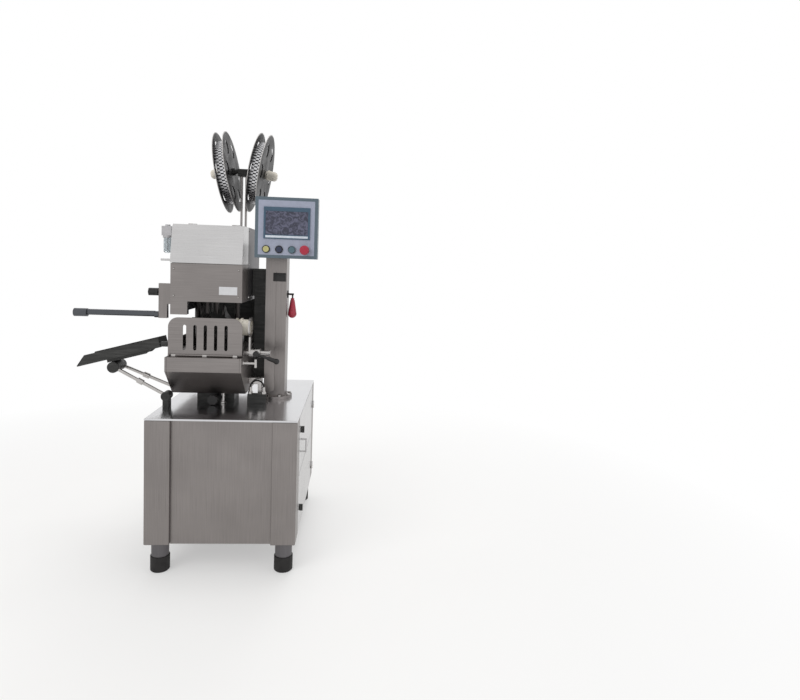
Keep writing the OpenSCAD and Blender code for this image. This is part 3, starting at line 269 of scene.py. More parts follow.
def display_film(name, colour, pixel_mm=2.4):
    """A matt film over a display: a dim tone with the display's own grid, drawn coarse enough to show, and paler
    swirled patches of painted reflection.
    """
    material, tree, shader, coords = start_material(name)
    sheen_noise = add(tree, "ShaderNodeTexNoise", {"Scale": per_metre(22), "Detail": 2.0, "Distortion": 1.6},
                {"Vector": (coords, "Object")})
    tones = {"Color1": rgba(shade(colour, 0.5)), "Color2": rgba(shade(colour, 0.58))}
    grid = add(tree, "ShaderNodeTexChecker", {"Scale": per_metre(pixel_mm), **tones},
               {"Vector": (coords, "Object")})
    # Painted reflection: swirled patches made paler on the switched-off display
    painted_sheen = add(tree, "ShaderNodeMapRange", {"From Min": 0.42, "From Max": 0.6}, {"Value": (sheen_noise, "Fac")})
    mix = add(tree, "ShaderNodeMix", {"data_type": "RGBA", "B": rgba(shade(colour, 1.35))},
              {"Factor": (painted_sheen, "Result"), "A": (grid, "Color")})
    tree.links.new(mix.outputs["Result"], shader.inputs["Base Color"])
    shader.inputs["Roughness"].default_value = 0.4
    shader.inputs["Specular IOR Level"].default_value = 0.3
    return material


def clear_bowl(name, colour):
    """Polycarbonate bowl: clear, slightly grey, with the oil's film running down inside."""
    material, tree, shader, coords = start_material(name)
    mapping = add(tree, "ShaderNodeMapping", {"Scale": (per_metre(20), per_metre(20), per_metre(50))},
                  {"Vector": (coords, "Object")})
    film = add(tree, "ShaderNodeTexNoise", {"Scale": 1.0, "Detail": 2.0}, {"Vector": (mapping, "Vector")})
    rough = add(tree, "ShaderNodeMapRange", {"From Min": 0.3, "From Max": 0.7, "To Min": 0.03,
                                             "To Max": 0.12}, {"Value": (film, "Fac")})
    tree.links.new(rough.outputs["Result"], shader.inputs["Roughness"])
    shader.inputs["Base Color"].default_value = rgba(colour)
    shader.inputs["Transmission Weight"].default_value = 0.85
    shader.inputs["IOR"].default_value = 1.58
    return material


def background_rays(tree):
    """Is 1 where the camera, a reflection or glass looks at the background, and 0 for other light."""
    path = add(tree, "ShaderNodeLightPath")
    seen = add(tree, "ShaderNodeMath", {"operation": "MAXIMUM"},
               {0: (path, "Is Camera Ray"), 1: (path, "Is Glossy Ray")})
    return add(tree, "ShaderNodeMath", {"operation": "MAXIMUM"},
               {0: (seen, "Value"), 1: (path, "Is Transmission Ray")})


def studio_floor(name, colour):
    """Painted studio floor: matt and pale, with a faint mottle, and white in the distance."""
    material, tree, shader, coords = start_material(name)
    mottle = add(tree, "ShaderNodeTexNoise", {"Scale": per_metre(800), "Detail": 3.0},
                 {"Vector": (coords, "Object")})
    mix = add(tree, "ShaderNodeMix", {"data_type": "RGBA", "A": rgba(shade(colour, 0.97)),
                                      "B": rgba(shade(colour, 1.02))}, {"Factor": (mottle, "Fac")})
    tree.links.new(mix.outputs["Result"], shader.inputs["Base Color"])
    shader.inputs["Roughness"].default_value = 0.7
    reach = add(tree, "ShaderNodeVectorMath", {"operation": "LENGTH"}, {"Vector": (coords, "Object")})
    fade = add(tree, "ShaderNodeMapRange", {"From Min": FLOOR_NEAR, "From Max": FLOOR_FAR,
                                            "To Min": FLOOR_GLOW}, {"Value": (reach, "Value")})
    seen = add(tree, "ShaderNodeMath", {"operation": "MULTIPLY"},
               {0: (fade, "Result"), 1: (background_rays(tree), "Value")})
    white = add(tree, "ShaderNodeEmission", {"Strength": BACKDROP})
    blend = add(tree, "ShaderNodeMixShader",
                links={0: (seen, "Value"), 1: (shader, "BSDF"), 2: (white, "Emission")})
    tree.links.new(blend.outputs["Shader"], tree.nodes["Material Output"].inputs["Surface"])
    return material


def printed_film(name, film, rim, centre, half):
    """Membrane film on the front of a steel panel box: pale inside a rectangle, darker along its border."""
    material = moulded_plastic(name, film, 0.34, 0.9, 0.05)
    tree = material.node_tree
    shader = tree.nodes["Principled BSDF"]
    coords = tree.nodes["Texture Coordinate"]
    offset = add(tree, "ShaderNodeVectorMath", {"operation": "SUBTRACT", 1: centre}, {0: (coords, "Object")})
    size = add(tree, "ShaderNodeVectorMath", {"operation": "ABSOLUTE"}, {0: (offset, "Vector")})
    ratio = add(tree, "ShaderNodeVectorMath", {"operation": "DIVIDE", 1: half}, {0: (size, "Vector")})
    parts = add(tree, "ShaderNodeSeparateXYZ", links={"Vector": (ratio, "Vector")})
    wide = add(tree, "ShaderNodeMath", {"operation": "MAXIMUM"}, {0: (parts, "X"), 1: (parts, "Z")})
    deep = add(tree, "ShaderNodeMath", {"operation": "MAXIMUM"}, {0: (wide, "Value"), 1: (parts, "Y")})
    border = add(tree, "ShaderNodeMath", {"operation": "GREATER_THAN", 1: 1.0}, {0: (deep, "Value")})
    inner = shader.inputs["Base Color"].links[0].from_node
    mix = add(tree, "ShaderNodeMix", {"data_type": "RGBA", "B": rgba(rim)},
              {"Factor": (border, "Value"), "A": (inner, "Result")})
    tree.links.new(mix.outputs["Result"], shader.inputs["Base Color"])
    return material


def reach_mix(material, centre, span, colour):
    """Lets a finish change to another colour between two distances from a point."""
    tree = material.node_tree
    shader = tree.nodes["Principled BSDF"]
    coords = tree.nodes["Texture Coordinate"]
    reach = add(tree, "ShaderNodeVectorMath", {"operation": "DISTANCE", 1: centre}, {0: (coords, "Object")})
    share = add(tree, "ShaderNodeMapRange", {"From Min": span[0], "From Max": span[1]},
                {"Value": (reach, "Value")})
    inner = shader.inputs["Base Color"].links[0].from_node
    mix = add(tree, "ShaderNodeMix", {"data_type": "RGBA", "B": rgba(colour)},
              {"Factor": (share, "Result"), "A": (inner, "Result")})
    tree.links.new(mix.outputs["Result"], shader.inputs["Base Color"])
    return material


def rimmed_reel(name, colour, rim, centre, radius):
    """Blackened reel flange whose turned rim is left bare."""
    material = blackened_steel(name, colour)
    shader = material.node_tree.nodes["Principled BSDF"]
    shader.inputs["Metallic"].default_value = 0.25
    return reach_mix(material, centre, (radius, radius + mm(0.5)), rim)


def clip_coil(name, shadow, colour, centre, radius):
    """Coil of drawn aluminium clips: bright at its rim, and painted shade further in, where the clips leave gaps
    between them.
    """
    material = turned_metal(name, shadow, 0.32)
    # Painted shade: the shadow colour inside the coil, changing to the clips' colour only near its outer edge
    return reach_mix(material, centre, (radius - mm(4), radius - mm(0.5)), colour)


STEEL_X = "brushed_stainless_along_x"
STEEL_Y = "brushed_stainless_along_y"
STEEL_Z = "brushed_stainless_along_z"
# Painted reflection: the same brushed steel, made lighter where it mirrors bright surroundings
COVER = "brushed_cover_with_painted_light"
MACHINED = "ground_steel"
# Blackened steel, used also as painted shade on steel parts that lie in shadow
BLACKENED_AND_SHADOWED = "blackened_steel"
RUBBER = "moulded_black_rubber"
NYLON = "moulded_black_nylon"
POLYMER = "turned_white_polymer"
RED = "moulded_red_plastic"
BOWL = "clear_polycarbonate"
CAST = "white_enamelled_casting"
TOP = "polished_worktop"
# Painted shade: the same stainless steel, made darker where it lies in shadow
SHADOWED_STEEL = "shadowed_sheet_steel"
TUBE = "blackened_tube"
FILM = "membrane_film"
PLATE = "bare_nameplate"
STRIP = "pale_key_strip"
# Painted shade: ground steel made darker for the mechanism inside the throat
SHADOWED_PUNCH_STEEL = "shadowed_punch_steel"
YELLOW = "moulded_yellow_plastic"
NAVY = "moulded_navy_plastic"
TEAL = "moulded_teal_plastic"
SCREEN = "screen_frame_film"
DISPLAY = "display_film"
POWDER = "grey_powder_coat"
REELS = {"left_reel": "left_reel_flange", "right_reel": "right_reel_flange"}
COILS = {"left_clips": "left_aluminium_clips", "right_clips": "right_aluminium_clips"}
JOINT_PLACE = {joint["name"]: joint.get("pos_m") for joint in frame["joints"]}


def panel_film(name):
    """The control panel's film, fitted to the panel box."""
    tint = bpy.context.scene.clipper_colours
    low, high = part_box("panel_box")
    rim = bpy.context.scene.clipper_sizes.film_rim
    centre = ((low.x + high.x) / 2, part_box("panel_screen")[1].y, (low.z + high.z) / 2)
    half = ((high.x - low.x) / 2 - rim, mm(1), (high.z - low.z) / 2 - rim)
    return printed_film(name, tint.film, tint.film_rim, centre, half)


def reel_flange(name, node):
    """A reel's finish, with the bare rim just inside the flange's edge."""
    tint = bpy.context.scene.clipper_colours
    low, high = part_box(node)
    radius = (high.y - low.y) / 2 - bpy.context.scene.clipper_sizes.reel_rim
    return rimmed_reel(name, tint.reel, tint.machined, JOINT_PLACE[node + "_spin"], radius)


def coil_finish(name, node):
    """A coil's finish, fitted to the coil's own size."""
    tint = bpy.context.scene.clipper_colours
    low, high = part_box(node)
    centre = JOINT_PLACE[node.replace("clips", "reel") + "_spin"]
    # Painted shade: the reel's dark colour serves as the shade inside the coil
    return clip_coil(name, tint.reel, tint.clips, centre, (high.y - low.y) / 2)


def make_finish(name):
    """Makes one finish by its name, from the colours in the settings."""
    tint = bpy.context.scene.clipper_colours
    grain = bpy.context.scene.clipper_sizes.grain
    makers = {
        STEEL_X: lambda: brushed_steel(name, tint.steel, 0, grain),
        STEEL_Y: lambda: brushed_steel(name, tint.steel, 1, grain),
        STEEL_Z: lambda: brushed_steel(name, tint.steel, 2, grain),
        COVER: lambda: brushed_steel(name, tint.cover, 0, grain, 0.3, 0.1),
        MACHINED: lambda: turned_metal(name, tint.machined),
        COILS["left_clips"]: lambda: coil_finish(name, "left_clips"),
        COILS["right_clips"]: lambda: coil_finish(name, "right_clips"),
        SHADOWED_PUNCH_STEEL: lambda: turned_metal(name, tint.tool, 0.34),
        CAST: lambda: moulded_plastic(name, tint.enamel, 0.35),
        TOP: lambda: brushed_steel(name, tint.clips, 0, grain, 0.17, 0.06),
        SHADOWED_STEEL: lambda: brushed_steel(name, tint.shade, 2, grain, 0.4, 0.12),
        TUBE: lambda: turned_metal(name, tint.tube, 0.3),
        PLATE: lambda: turned_metal(name, tint.clips, 0.35),
        STRIP: lambda: moulded_plastic(name, tint.strip, 0.35),
        FILM: lambda: panel_film(name),
        REELS["left_reel"]: lambda: reel_flange(name, "left_reel"),
        REELS["right_reel"]: lambda: reel_flange(name, "right_reel"),
        BLACKENED_AND_SHADOWED: lambda: blackened_steel(name, tint.dark),
        RUBBER: lambda: moulded_plastic(name, tint.rubber, 0.7, 2.0, 0.2),
        NYLON: lambda: moulded_plastic(name, tint.nylon, 0.42),
        POLYMER: lambda: moulded_plastic(name, tint.polymer, 0.42),
        RED: lambda: moulded_plastic(name, tint.red, 0.3),
        YELLOW: lambda: moulded_plastic(name, tint.yellow, 0.3),
        NAVY: lambda: moulded_plastic(name, tint.navy, 0.3),
        TEAL: lambda: moulded_plastic(name, tint.teal, 0.3),
        SCREEN: lambda: moulded_plastic(name, tint.screen, 0.35),
        DISPLAY: lambda: display_film(name, tint.display),
        POWDER: lambda: moulded_plastic(name, tint.powder, 0.5, 3.0, 0.25),
        BOWL: lambda: clear_bowl(name, tint.bowl),
    }
    return makers[name]()


def finish(name):
    return bpy.data.materials.get(name) or make_finish(name)


# Pieces


def place_piece(mesh, name, body, finish_name):
    """Makes an object of a mesh, gives it its finish and lets it ride on a body."""
    piece = bpy.data.objects.new(name, mesh)
    bpy.context.scene.collection.objects.link(piece)
    mesh.materials.clear()
    mesh.materials.append(finish(finish_name))
    mesh.shade_smooth()
    mesh.set_sharp_from_angle(angle=SHARP_ANGLE)
    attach(piece, body)
    return piece


def dress(node, finish_name, radius, others=None):
    """Shows a CAD node as a copy whose edges are rounded, so that folds and corners catch the light.
    Others gives another finish to the faces whose middle lies in a box: {finish name: [boxes]}."""
    mesh = NODES[node].data.copy()
    mesh.name = node + "_skin"
    bm = bmesh.new()
    bm.from_mesh(mesh)
    bmesh.ops.remove_doubles(bm, verts=bm.verts, dist=mm(0.005))
    bmesh.ops.dissolve_limit(bm, angle_limit=FLAT_ANGLE, verts=bm.verts, edges=bm.edges)
    bm.to_mesh(mesh)
    bm.free()
    piece = place_piece(mesh, node + "_skin", NODE_BODY[node], finish_name)
    for other, boxes in (others or {}).items():
        mesh.materials.append(finish(other))
        for face in mesh.polygons:
            if any(inside(face.center, box) for box in boxes):
                face.material_index = len(mesh.materials) - 1
    rounding = piece.modifiers.new("rounded_edges", "BEVEL")
    rounding.width = radius
    rounding.segments = 2
    rounding.limit_method = "ANGLE"
    rounding.angle_limit = SHARP_ANGLE
    rounding.harden_normals = True
    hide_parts(node)


def inside(point, box):
    """Whether a point lies between a box's two corners."""
    return all(low <= value <= high for low, value, high in zip(box[0], point, box[1]))


def add_block(bm, low, high, radius=0.0):
    """Adds a block between two corners, with rounded edges."""
    low = Vector(low)
    high = Vector(high)
    size = high - low
    matrix = Matrix.Translation((low + high) / 2) @ Matrix.Diagonal((*size, 1))
    verts = bmesh.ops.create_cube(bm, size=1.0, matrix=matrix)["verts"]
    if radius:
        edges = list({edge for vert in verts for edge in vert.link_edges})
        bmesh.ops.bevel(bm, geom=edges, offset=radius, affect="EDGES", segments=2, profile=0.5, material=-1)


def add_screw(bm, place, normal, radius):
    """Adds a button-head screw with a sunk socket, its seat at a point of a surface."""
    height = radius * SCREW_HEIGHT
    turn = Z_AXIS.rotation_difference(normal).to_matrix().to_4x4()
    matrix = Matrix.Translation(Vector(place) + normal * height / 2) @ turn
    made = bmesh.ops.create_cone(bm, cap_ends=True, segments=SCREW_SIDES, radius1=radius,
                                 radius2=radius * SCREW_TOP, depth=height, matrix=matrix)
    top = [face for vert in made["verts"] for face in vert.link_faces if face.normal.dot(normal) > 0.9]
    bmesh.ops.inset_individual(bm, faces=top[:1], thickness=radius * SCREW_RIM, depth=-height * SCREW_SOCKET)


def add_louvre(bm, place, length, height, depth):
    """Adds a pressed louvre: a sloping hood on a face that looks to the rear, open at its lower edge."""
    x, y, z = place
    half = length / 2
    lip = [(x + s * (half - depth / 2), y + depth, z) for s in (-1, 1)]
    foot = [(x + s * half, y, z) for s in (-1, 1)]
    top = [(x + s * (half - depth / 2), y, z + height) for s in (-1, 1)]
    corners = [bm.verts.new(corner) for corner in foot + lip + top]
    bmesh.ops.convex_hull(bm, input=corners)


def piece_from(bm, name, body, finish_name):
    """Closes a bmesh into a finished piece."""
    mesh = bpy.data.meshes.new(name)
    bmesh.ops.recalc_face_normals(bm, faces=bm.faces)
    bm.to_mesh(mesh)
    bm.free()
    place_piece(mesh, name, body, finish_name)


def screws(name, body, places, normal, radius):
    """A set of cover screws as one piece."""
    bm = bmesh.new()
    for place in places:
        add_screw(bm, place, normal, radius)
    piece_from(bm, name, body, MACHINED)


def dress_all(nodes, finish_name, radius):
    for node in nodes:
        dress(node, finish_name, radius)


# Details that only the looks have. Lengths are in millimetres

# Louvres of the rear panel: length, height and depth; the rest as shares of the panels' box
LOUVRE_SIZE = (120, 12, 6)
LOUVRE_PITCH = 28
LOUVRE_ROWS = 6
LOUVRE_RISE = 0.6
LOUVRE_COLUMNS = (0.28, 0.72)
# Screws of an end plate: share of its depth, and height above its lower edge
PLATE_SCREWS = ((0.3, 150), (0.55, 40), (0.55, 190), (0.92, 40), (0.92, 190))
# Screws of the front panel: distance from its sides, and depths below its upper edge
FRONT_SCREW_INSET = 16
FRONT_SCREW_DROPS = (26, 150)
COVER_SCREW_INSET = 18
# Bare nameplate: width and height, and distances from the front panel's right and upper edges
NAMEPLATE_SIZE = (84, 38)
NAMEPLATE_INSET = 22
NAMEPLATE_DROP = 104
NAMEPLATE_PROUD = 0.8
# Pale strip under the display: distance from the screen's sides, and heights of its two edges
STRIP_INSET = 9
STRIP_EDGES = (5, 15)
STRIP_PROUD = 0.4
# Dark block above the pendant, painted shadow of the panel on the column: width, depth and height, and where it
# sits from the hook's box
SHADOW_BLOCK_SIZE = (62, 10, 42)
SHADOW_BLOCK_GAP = 4
SHADOW_BLOCK_RISE = 90
# How far a detail is let into the surface that it sits on
SUNK = 0.5

# Boxes that pick the faces of a node that have a finish of their own. Lengths are in millimetres

# Bright stud under the housing: depth of its box, from the front of the supports
STUD_DEPTH = 30
# Dark yoke of the reels: how far its box begins below their axis
YOKE_DROP = 40
# Display: how near the middle of its face is to the screen's middle, and how deep it lies at least
DISPLAY_REACH = 9
DISPLAY_DEPTH = 1.5
# Valve block under the hose: height of its box
VALVE_HEIGHT = 44.5
# Bare bars of the chute's strut: distances of their box from the left and the right, and its height
STRUT_BARS = (53, 31, 235)
# How far a box ends before the next surface
BOX_MARGIN = 0.5


# Operators, one for each group of pieces


class CLIPPER_OT_cabinet(bpy.types.Operator):
    """Posts, panels, worktop, legs and feet"""

    bl_idname = "clipper.cabinet"
    bl_label = "Cabinet"

    def execute(self, context):
        sizes = context.scene.clipper_sizes
        dress("corner_posts", STEEL_Z, sizes.fold * 2)
        dress("worktop", TOP, sizes.fold)
        dress("base_panels", STEEL_Z, mm(0.5))
        # Painted shade: the legs take the darker copy of the brushed steel
        dress("leg_tubes", SHADOWED_STEEL, mm(0.5))
        dress("foot_cups", RUBBER, mm(3))
        dress("electrical_box", POWDER, mm(2))
        low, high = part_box("rear_inlets")
        middle = Vector(((low.x + high.x) / 2, low.y, low.z))
        dress("rear_inlets", NYLON, mm(0.8), {MACHINED: [(middle, high)]})
        dress("hinges", MACHINED, mm(0.4))
        low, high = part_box("base_panels")
        rear = high.y
        start = low.z + LOUVRE_RISE * (high.z - low.z)
        rows = [start + mm(LOUVRE_PITCH) * i for i in range(LOUVRE_ROWS)]
        bm = bmesh.new()
        for share in LOUVRE_COLUMNS:
            x = low.x + share * (high.x - low.x)
            for z in rows:
                add_louvre(bm, (x, rear, z), *(mm(size) for size in LOUVRE_SIZE))
        piece_from(bm, "rear_louvres", "machine", STEEL_X)
        return {"FINISHED"}


class CLIPPER_OT_door(bpy.types.Operator):
    """Side door with its loop handle and turn latches"""

    bl_idname = "clipper.door"
    bl_label = "Door"

    def execute(self, context):
        # Painted reflection: the door takes the lighter copy of the brushed steel
        dress("right_door", COVER, mm(1.0))
        dress("latch_upper", BLACKENED_AND_SHADOWED, mm(1.0))
        dress("latch_lower", BLACKENED_AND_SHADOWED, mm(1.0))
        return {"FINISHED"}


class CLIPPER_OT_column(bpy.types.Operator):
    """Column with its flange, bolts and arms"""

    bl_idname = "clipper.column"
    bl_label = "Column"

    def execute(self, context):
        sizes = context.scene.clipper_sizes
        dress("column", STEEL_Z, mm(3))
        dress("flange_bolts", MACHINED, mm(0.8))
        low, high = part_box("support_brackets")
        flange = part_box("column")[0].y
        foot = (Vector((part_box("end_plates")[1].x - mm(1), low.y, low.z)), Vector((high.x, flange, high.z)))
        stud = (low, Vector((high.x, low.y + mm(STUD_DEPTH), high.z)))
        # Painted shade: the arms and pedestal are steel in shadow and take the dark finish; the foot and stud keep
        # the ground steel
        dress("support_brackets", BLACKENED_AND_SHADOWED, sizes.fold, {MACHINED: [foot, stud]})
        return {"FINISHED"}


class CLIPPER_OT_housing(bpy.types.Operator):
    """Lower housing, end plates, rear wall and slotted guard"""

    bl_idname = "clipper.housing"
    bl_label = "Housing"

    def execute(self, context):
        sizes = context.scene.clipper_sizes
        dress("lower_housing", STEEL_X, sizes.fold * 1.5)
        dress("end_plates", STEEL_Y, sizes.edge)
        low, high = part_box("end_plates")
        depth = high.y - low.y
        places = [(high.x, low.y + depth * share, low.z + mm(rise))
                  for share, rise in PLATE_SCREWS]
        screws("end_plate_screws", "machine", places, X_AXIS, sizes.screw)
        places = [(low.x, y, z) for _, y, z in places]
        screws("left_plate_screws", "machine", places, -X_AXIS, sizes.screw)
        # Painted shade: the rear wall is darkened so that the throat behind the mechanism stays dark
        dress("rear_wall", BLACKENED_AND_SHADOWED, sizes.edge)
        dress("slotted_guard", STEEL_X, sizes.edge)
        dress("lock_knob", NYLON, mm(1.5))
        dress("t_handle", MACHINED, mm(1.0))
        return {"FINISHED"}


class CLIPPER_OT_head(bpy.types.Operator):
    """Head frame, front panel and covers"""

    bl_idname = "clipper.head"
    bl_label = "Head"

    def execute(self, context):
        sizes = context.scene.clipper_sizes
        # Painted shade: the head's frame and rear cover take the darker copy of the brushed steel
        dress("head_frame", SHADOWED_STEEL, sizes.edge)
        dress("head_front_panel", STEEL_X, sizes.edge)
        dress("head_rear_cover", SHADOWED_STEEL, sizes.edge)
        # Painted reflection: the head cover takes the lighter copy of the brushed steel
        dress("head_cover", COVER, sizes.edge)
        low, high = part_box("head_front_panel")
        inset = mm(FRONT_SCREW_INSET)
        sides = (low.x + inset, high.x - inset)
        places = [(x, low.y, high.z - mm(drop)) for x in sides for drop in FRONT_SCREW_DROPS]
        screws("front_panel_screws", "machine", places, -Y_AXIS, sizes.screw)
        bm = bmesh.new()
        right = high.x - mm(NAMEPLATE_INSET)
        top = high.z - mm(NAMEPLATE_DROP)
        width, height = (mm(size) for size in NAMEPLATE_SIZE)
        add_block(bm, (right - width, low.y - mm(NAMEPLATE_PROUD), top - height),
                  (right, low.y + mm(SUNK), top), mm(0.4))
        piece_from(bm, "nameplate", "machine", PLATE)
        low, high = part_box("head_rear_cover")
        inset = mm(COVER_SCREW_INSET)
        rows = (low.z + inset, (low.z + high.z) / 2, high.z - inset)
        for name, x, normal in (("right_cover_screws", high.x, X_AXIS),
                                ("left_cover_screws", low.x, -X_AXIS)):
            places = [(x, y, z) for y in (low.y + inset, high.y - inset) for z in rows]
            screws(name, "machine", places, normal, sizes.screw)
        places = [(x, high.y, z) for x in (low.x + inset, high.x - inset) for z in rows]
        screws("rear_cover_screws", "machine", places, Y_AXIS, sizes.screw)
        return {"FINISHED"}


class CLIPPER_OT_mechanism(bpy.types.Operator):
    """Ram, dies, gates, rods and cylinders"""

    bl_idname = "clipper.mechanism"
    bl_label = "Clipping mechanism"

    def execute(self, context):
        # Painted shade: the mechanism takes the darker copy of the ground steel
        dress_all(["air_cylinders", "guide_rods", "gate_shaft", "punch_ram", "die_block"], SHADOWED_PUNCH_STEEL, mm(0.8))
        dress_all(["upper_gates", "lower_gates"], SHADOWED_PUNCH_STEEL, mm(0.6))
        return {"FINISHED"}


class CLIPPER_OT_reels(bpy.types.Operator):
    """Reel post, reels, coils of clips and hub knobs"""

    bl_idname = "clipper.reels"
    bl_label = "Reels"

    def execute(self, context):
        for node, name in REELS.items():
            dress(node, name, mm(0.8))
        low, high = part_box("reel_post")
        yoke = (Vector((low.x, low.y, JOINT_PLACE["left_reel_spin"][2] - mm(YOKE_DROP))), high)
        dress("reel_post", STEEL_Z, mm(0.8), {BLACKENED_AND_SHADOWED: [yoke]})
        for node, name in COILS.items():
            dress(node, name, mm(0.4))
        dress("reel_knobs", POLYMER, mm(2))
        return {"FINISHED"}


class CLIPPER_OT_control_panel(bpy.types.Operator):
    """Panel box, display, push buttons and emergency stop"""

    bl_idname = "clipper.control_panel"
    bl_label = "Control panel"

    def execute(self, context):
        low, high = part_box("panel_screen")
        middle = (low + high) / 2
        corner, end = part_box("panel_box")
        collars = (corner, Vector((end.x, high.y - mm(BOX_MARGIN), end.z)))
        dress("panel_box", FILM, mm(1.5), {NYLON: [collars]})
        reach = mm(DISPLAY_REACH)
        recess = (Vector((middle.x - reach, low.y + mm(DISPLAY_DEPTH), middle.z - reach)),
                  Vector((middle.x + reach, high.y - mm(BOX_MARGIN), middle.z + reach)))
        dress("panel_screen", SCREEN, mm(0.6), {DISPLAY: [recess]})
        bm = bmesh.new()
        inset = mm(STRIP_INSET)
        proud = mm(STRIP_PROUD)
        lower, upper = (low.z + mm(edge) for edge in STRIP_EDGES)
        add_block(bm, (low.x + inset, low.y - proud, lower), (high.x - inset, low.y + proud, upper), mm(0.2))
        piece_from(bm, "screen_strip", "panel", STRIP)
        dress("panel_arm", BLACKENED_AND_SHADOWED, mm(1))
        dress("start_button", YELLOW, mm(1.2))
        dress("select_button", NAVY, mm(1.2))
        dress("jog_button", TEAL, mm(1.2))
        dress("estop_button", RED, mm(2))
        return {"FINISHED"}


class CLIPPER_OT_outfeed(bpy.types.Operator):
    """Chute, strut, loop rail and its knob"""

    bl_idname = "clipper.outfeed"
    bl_label = "Outfeed"

    def execute(self, context):
        # Painted shade: the chute's tray takes the dark finish, as it lies in shade
        dress("chute_tray", BLACKENED_AND_SHADOWED, mm(0.8))
        low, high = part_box("chute_strut")
        left, right, height = (mm(size) for size in STRUT_BARS)
        bars = (Vector((low.x + left, low.y, low.z)), Vector((high.x - right, high.y, low.z + height)))
        dress("chute_strut", BLACKENED_AND_SHADOWED, mm(0.8), {MACHINED: [bars]})
        dress("loop_rail", TUBE, mm(0.8))
        dress("rail_bracket", STEEL_Z, mm(1.5))
        dress("rail_knob", NYLON, mm(1.5))
        return {"FINISHED"}


class CLIPPER_OT_casing_brake(bpy.types.Operator):
    """Brake bar, sliding arm, ring and clamp lever"""

    bl_idname = "clipper.casing_brake"
    bl_label = "Casing brake"

    def execute(self, context):
        dress_all(["brake_bar", "brake_arm"], MACHINED, mm(1))
        dress("brake_ring", POLYMER, mm(2))
        dress("clamp_lever", NYLON, mm(1))
        return {"FINISHED"}


class CLIPPER_OT_air_service(bpy.types.Operator):
    """Lubricator and air hose"""

    bl_idname = "clipper.air_service"
    bl_label = "Air service"

    def execute(self, context):
        dress("lubricator_head", CAST, mm(2))
        dress("lubricator_bowl", BOWL, mm(0.6))
        low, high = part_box("hose_fittings")
        valve = (low, Vector((high.x, high.y, low.z + mm(VALVE_HEIGHT))))
        dress("hose_fittings", MACHINED, mm(0.8), {BLACKENED_AND_SHADOWED: [valve]})
        dress("air_hose", RUBBER, mm(0.2))
        return {"FINISHED"}


class CLIPPER_OT_pendant(bpy.types.Operator):
    """Hand pendant on its hook, and a dark block above it that paints the panel's shadow"""

    bl_idname = "clipper.pendant"
    bl_label = "Hand pendant"

    def execute(self, context):
        dress("pendant_hook", NYLON, mm(1))
        dress("pendant_grip", RED, mm(2))
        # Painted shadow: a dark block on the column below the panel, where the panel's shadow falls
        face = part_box("panel_arm")[1].y
        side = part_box("pendant_hook")[0].x
        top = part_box("pendant_hook")[1].z + mm(SHADOW_BLOCK_RISE)
        bm = bmesh.new()
        width, depth, height = (mm(size) for size in SHADOW_BLOCK_SIZE)
        right = side - mm(SHADOW_BLOCK_GAP)
        add_block(bm, (right - width, face - depth, top - height), (right, face + mm(SUNK), top), mm(1.5))
        piece_from(bm, "pendant_shadow_block", "machine", NYLON)
        return {"FINISHED"}


# Stage

LENS_MM = 27.0
SENSOR_MM = 36.0
CAMERA_PLACE = Vector((0.7655, -3.085, 1.404))
CAMERA_YAW = math.radians(-3.94)
CAMERA_PITCH = math.radians(3.97)
CAMERA_ROLL = math.radians(1.97)
CAMERA_SHIFT = -0.055
FLOOR_SIZE = 60.0
FLOOR_NEAR = 1.2
FLOOR_FAR = 3.2
FLOOR_GLOW = 0.42
AMBIENT = 0.5
BACKDROP = 1.0
LAMP_AIM = Vector((0.1, 0.0, 1.0))
# Each soft box: its name, place, size, watts and whether bare metal mirrors it
LAMPS = [
    ("key_softbox", (-2.2, -3.4, 3.4), (2.8, 2.8), 85, False),
    ("fill_softbox", (3.6, -2.4, 2.2), (3.0, 3.0), 12, True),
    ("top_softbox", (0.4, 0.4, 4.4), (2.6, 2.6), 80, False),
    ("rear_softbox", (1.0, 4.0, 2.6), (2.6, 2.2), 60, False),
]


def studio_world():
    """Even ambient light, and a pale backdrop wherever the camera, a reflection or glass looks."""
    world = bpy.data.worlds.new("studio")
    bpy.context.scene.world = world
    world.use_nodes = True
    tree = world.node_tree
    tree.nodes.clear()
    ambient = add(tree, "ShaderNodeBackground", {"Color": (1, 1, 1, 1), "Strength": AMBIENT})
    backdrop = add(tree, "ShaderNodeBackground", {"Color": (1, 1, 1, 1), "Strength": BACKDROP})
    mix = add(tree, "ShaderNodeMixShader", links={
        0: (background_rays(tree), "Value"), 1: (ambient, "Background"), 2: (backdrop, "Background")})
    add(tree, "ShaderNodeOutputWorld", links={"Surface": (mix, "Shader")})


def area_lamp(name, place, size, watts, mirrored):
    """A soft box that points at the machine. Bare metal mirrors the white room, and only the fill lamp."""
    data = bpy.data.lights.new(name, "AREA")
    data.shape = "RECTANGLE"
    data.size, data.size_y = size
    data.energy = watts
    lamp = bpy.data.objects.new(name, data)
    lamp.location = place
    lamp.rotation_euler = (LAMP_AIM - Vector(place)).to_track_quat("-Z", "Y").to_euler()
    lamp.visible_glossy = mirrored
    bpy.context.scene.collection.objects.link(lamp)


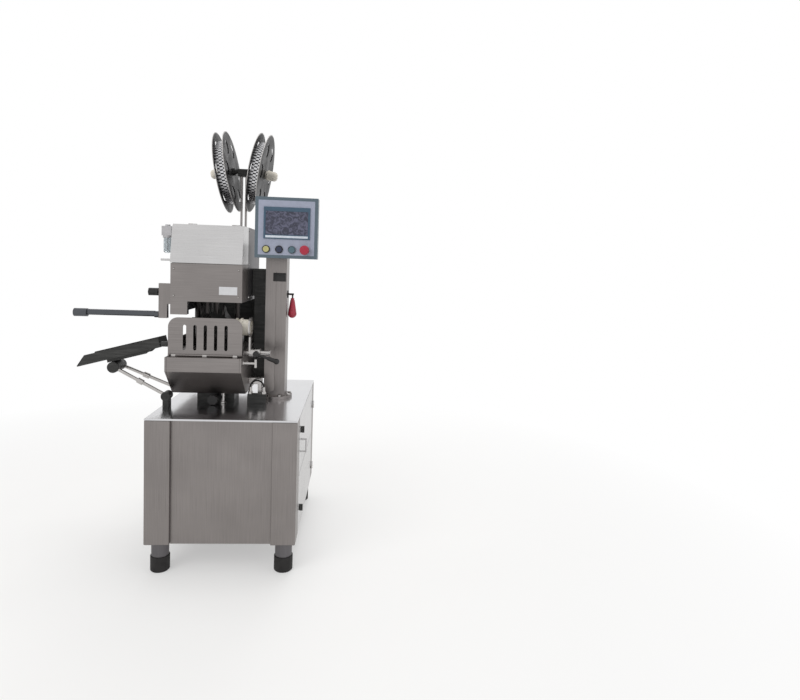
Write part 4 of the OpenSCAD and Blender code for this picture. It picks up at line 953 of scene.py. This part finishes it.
class CLIPPER_OT_stage(bpy.types.Operator):
    """Floor, soft light and the camera at the photograph's viewing angle"""

    bl_idname = "clipper.stage"
    bl_label = "Stage"

    def execute(self, context):
        scene = context.scene
        scene.view_settings.view_transform = "Standard"
        bm = bmesh.new()
        bmesh.ops.create_grid(bm, x_segments=1, y_segments=1, size=FLOOR_SIZE / 2)
        mesh = bpy.data.meshes.new("floor")
        bm.to_mesh(mesh)
        bm.free()
        mesh.materials.append(studio_floor("painted_studio_floor", scene.clipper_colours.floor))
        floor = bpy.data.objects.new("floor", mesh)
        scene.collection.objects.link(floor)
        studio_world()
        for name, place, size, watts, mirrored in LAMPS:
            area_lamp(name, place, size, watts, mirrored)
        data = bpy.data.cameras.new("camera")
        data.lens = LENS_MM
        data.sensor_width = SENSOR_MM
        data.sensor_fit = "HORIZONTAL"
        data.shift_y = CAMERA_SHIFT
        camera = bpy.data.objects.new("camera", data)
        turn = (Matrix.Rotation(CAMERA_YAW, 4, "Z") @ Matrix.Rotation(math.pi / 2 - CAMERA_PITCH, 4, "X")
                @ Matrix.Rotation(CAMERA_ROLL, 4, "Z"))
        camera.matrix_world = Matrix.Translation(CAMERA_PLACE) @ turn
        scene.collection.objects.link(camera)
        scene.camera = camera
        return {"FINISHED"}


class CLIPPER_PT_sidebar(bpy.types.Panel):
    """Lists the clipper's pieces, sizes and colours"""

    bl_label = "Sausage clipper"
    bl_idname = "CLIPPER_PT_sidebar"
    bl_space_type = "VIEW_3D"
    bl_region_type = "UI"
    bl_category = "Clipper"

    def draw(self, context):
        for operator in OPERATORS:
            self.layout.operator(operator.bl_idname)
        for group in (context.scene.clipper_sizes, context.scene.clipper_colours):
            for name in group.__annotations__:
                self.layout.prop(group, name)


OPERATORS = [
    CLIPPER_OT_stage, CLIPPER_OT_cabinet, CLIPPER_OT_door, CLIPPER_OT_column, CLIPPER_OT_housing,
    CLIPPER_OT_head, CLIPPER_OT_mechanism, CLIPPER_OT_reels, CLIPPER_OT_control_panel, CLIPPER_OT_outfeed,
    CLIPPER_OT_casing_brake, CLIPPER_OT_air_service, CLIPPER_OT_pendant,
]
CLASSES = [ClipperSizes, ClipperColours, *OPERATORS, CLIPPER_PT_sidebar]


def register():
    for cls in CLASSES:
        bpy.utils.register_class(cls)
    bpy.types.Scene.clipper_sizes = bpy.props.PointerProperty(type=ClipperSizes)
    bpy.types.Scene.clipper_colours = bpy.props.PointerProperty(type=ClipperColours)


def unregister():
    del bpy.types.Scene.clipper_colours
    del bpy.types.Scene.clipper_sizes
    for cls in reversed(CLASSES):
        bpy.utils.unregister_class(cls)


def main():
    register()
    for operator in OPERATORS:
        group, name = operator.bl_idname.split(".")
        getattr(getattr(bpy.ops, group), name)()


if __name__ == "__main__":
    main()
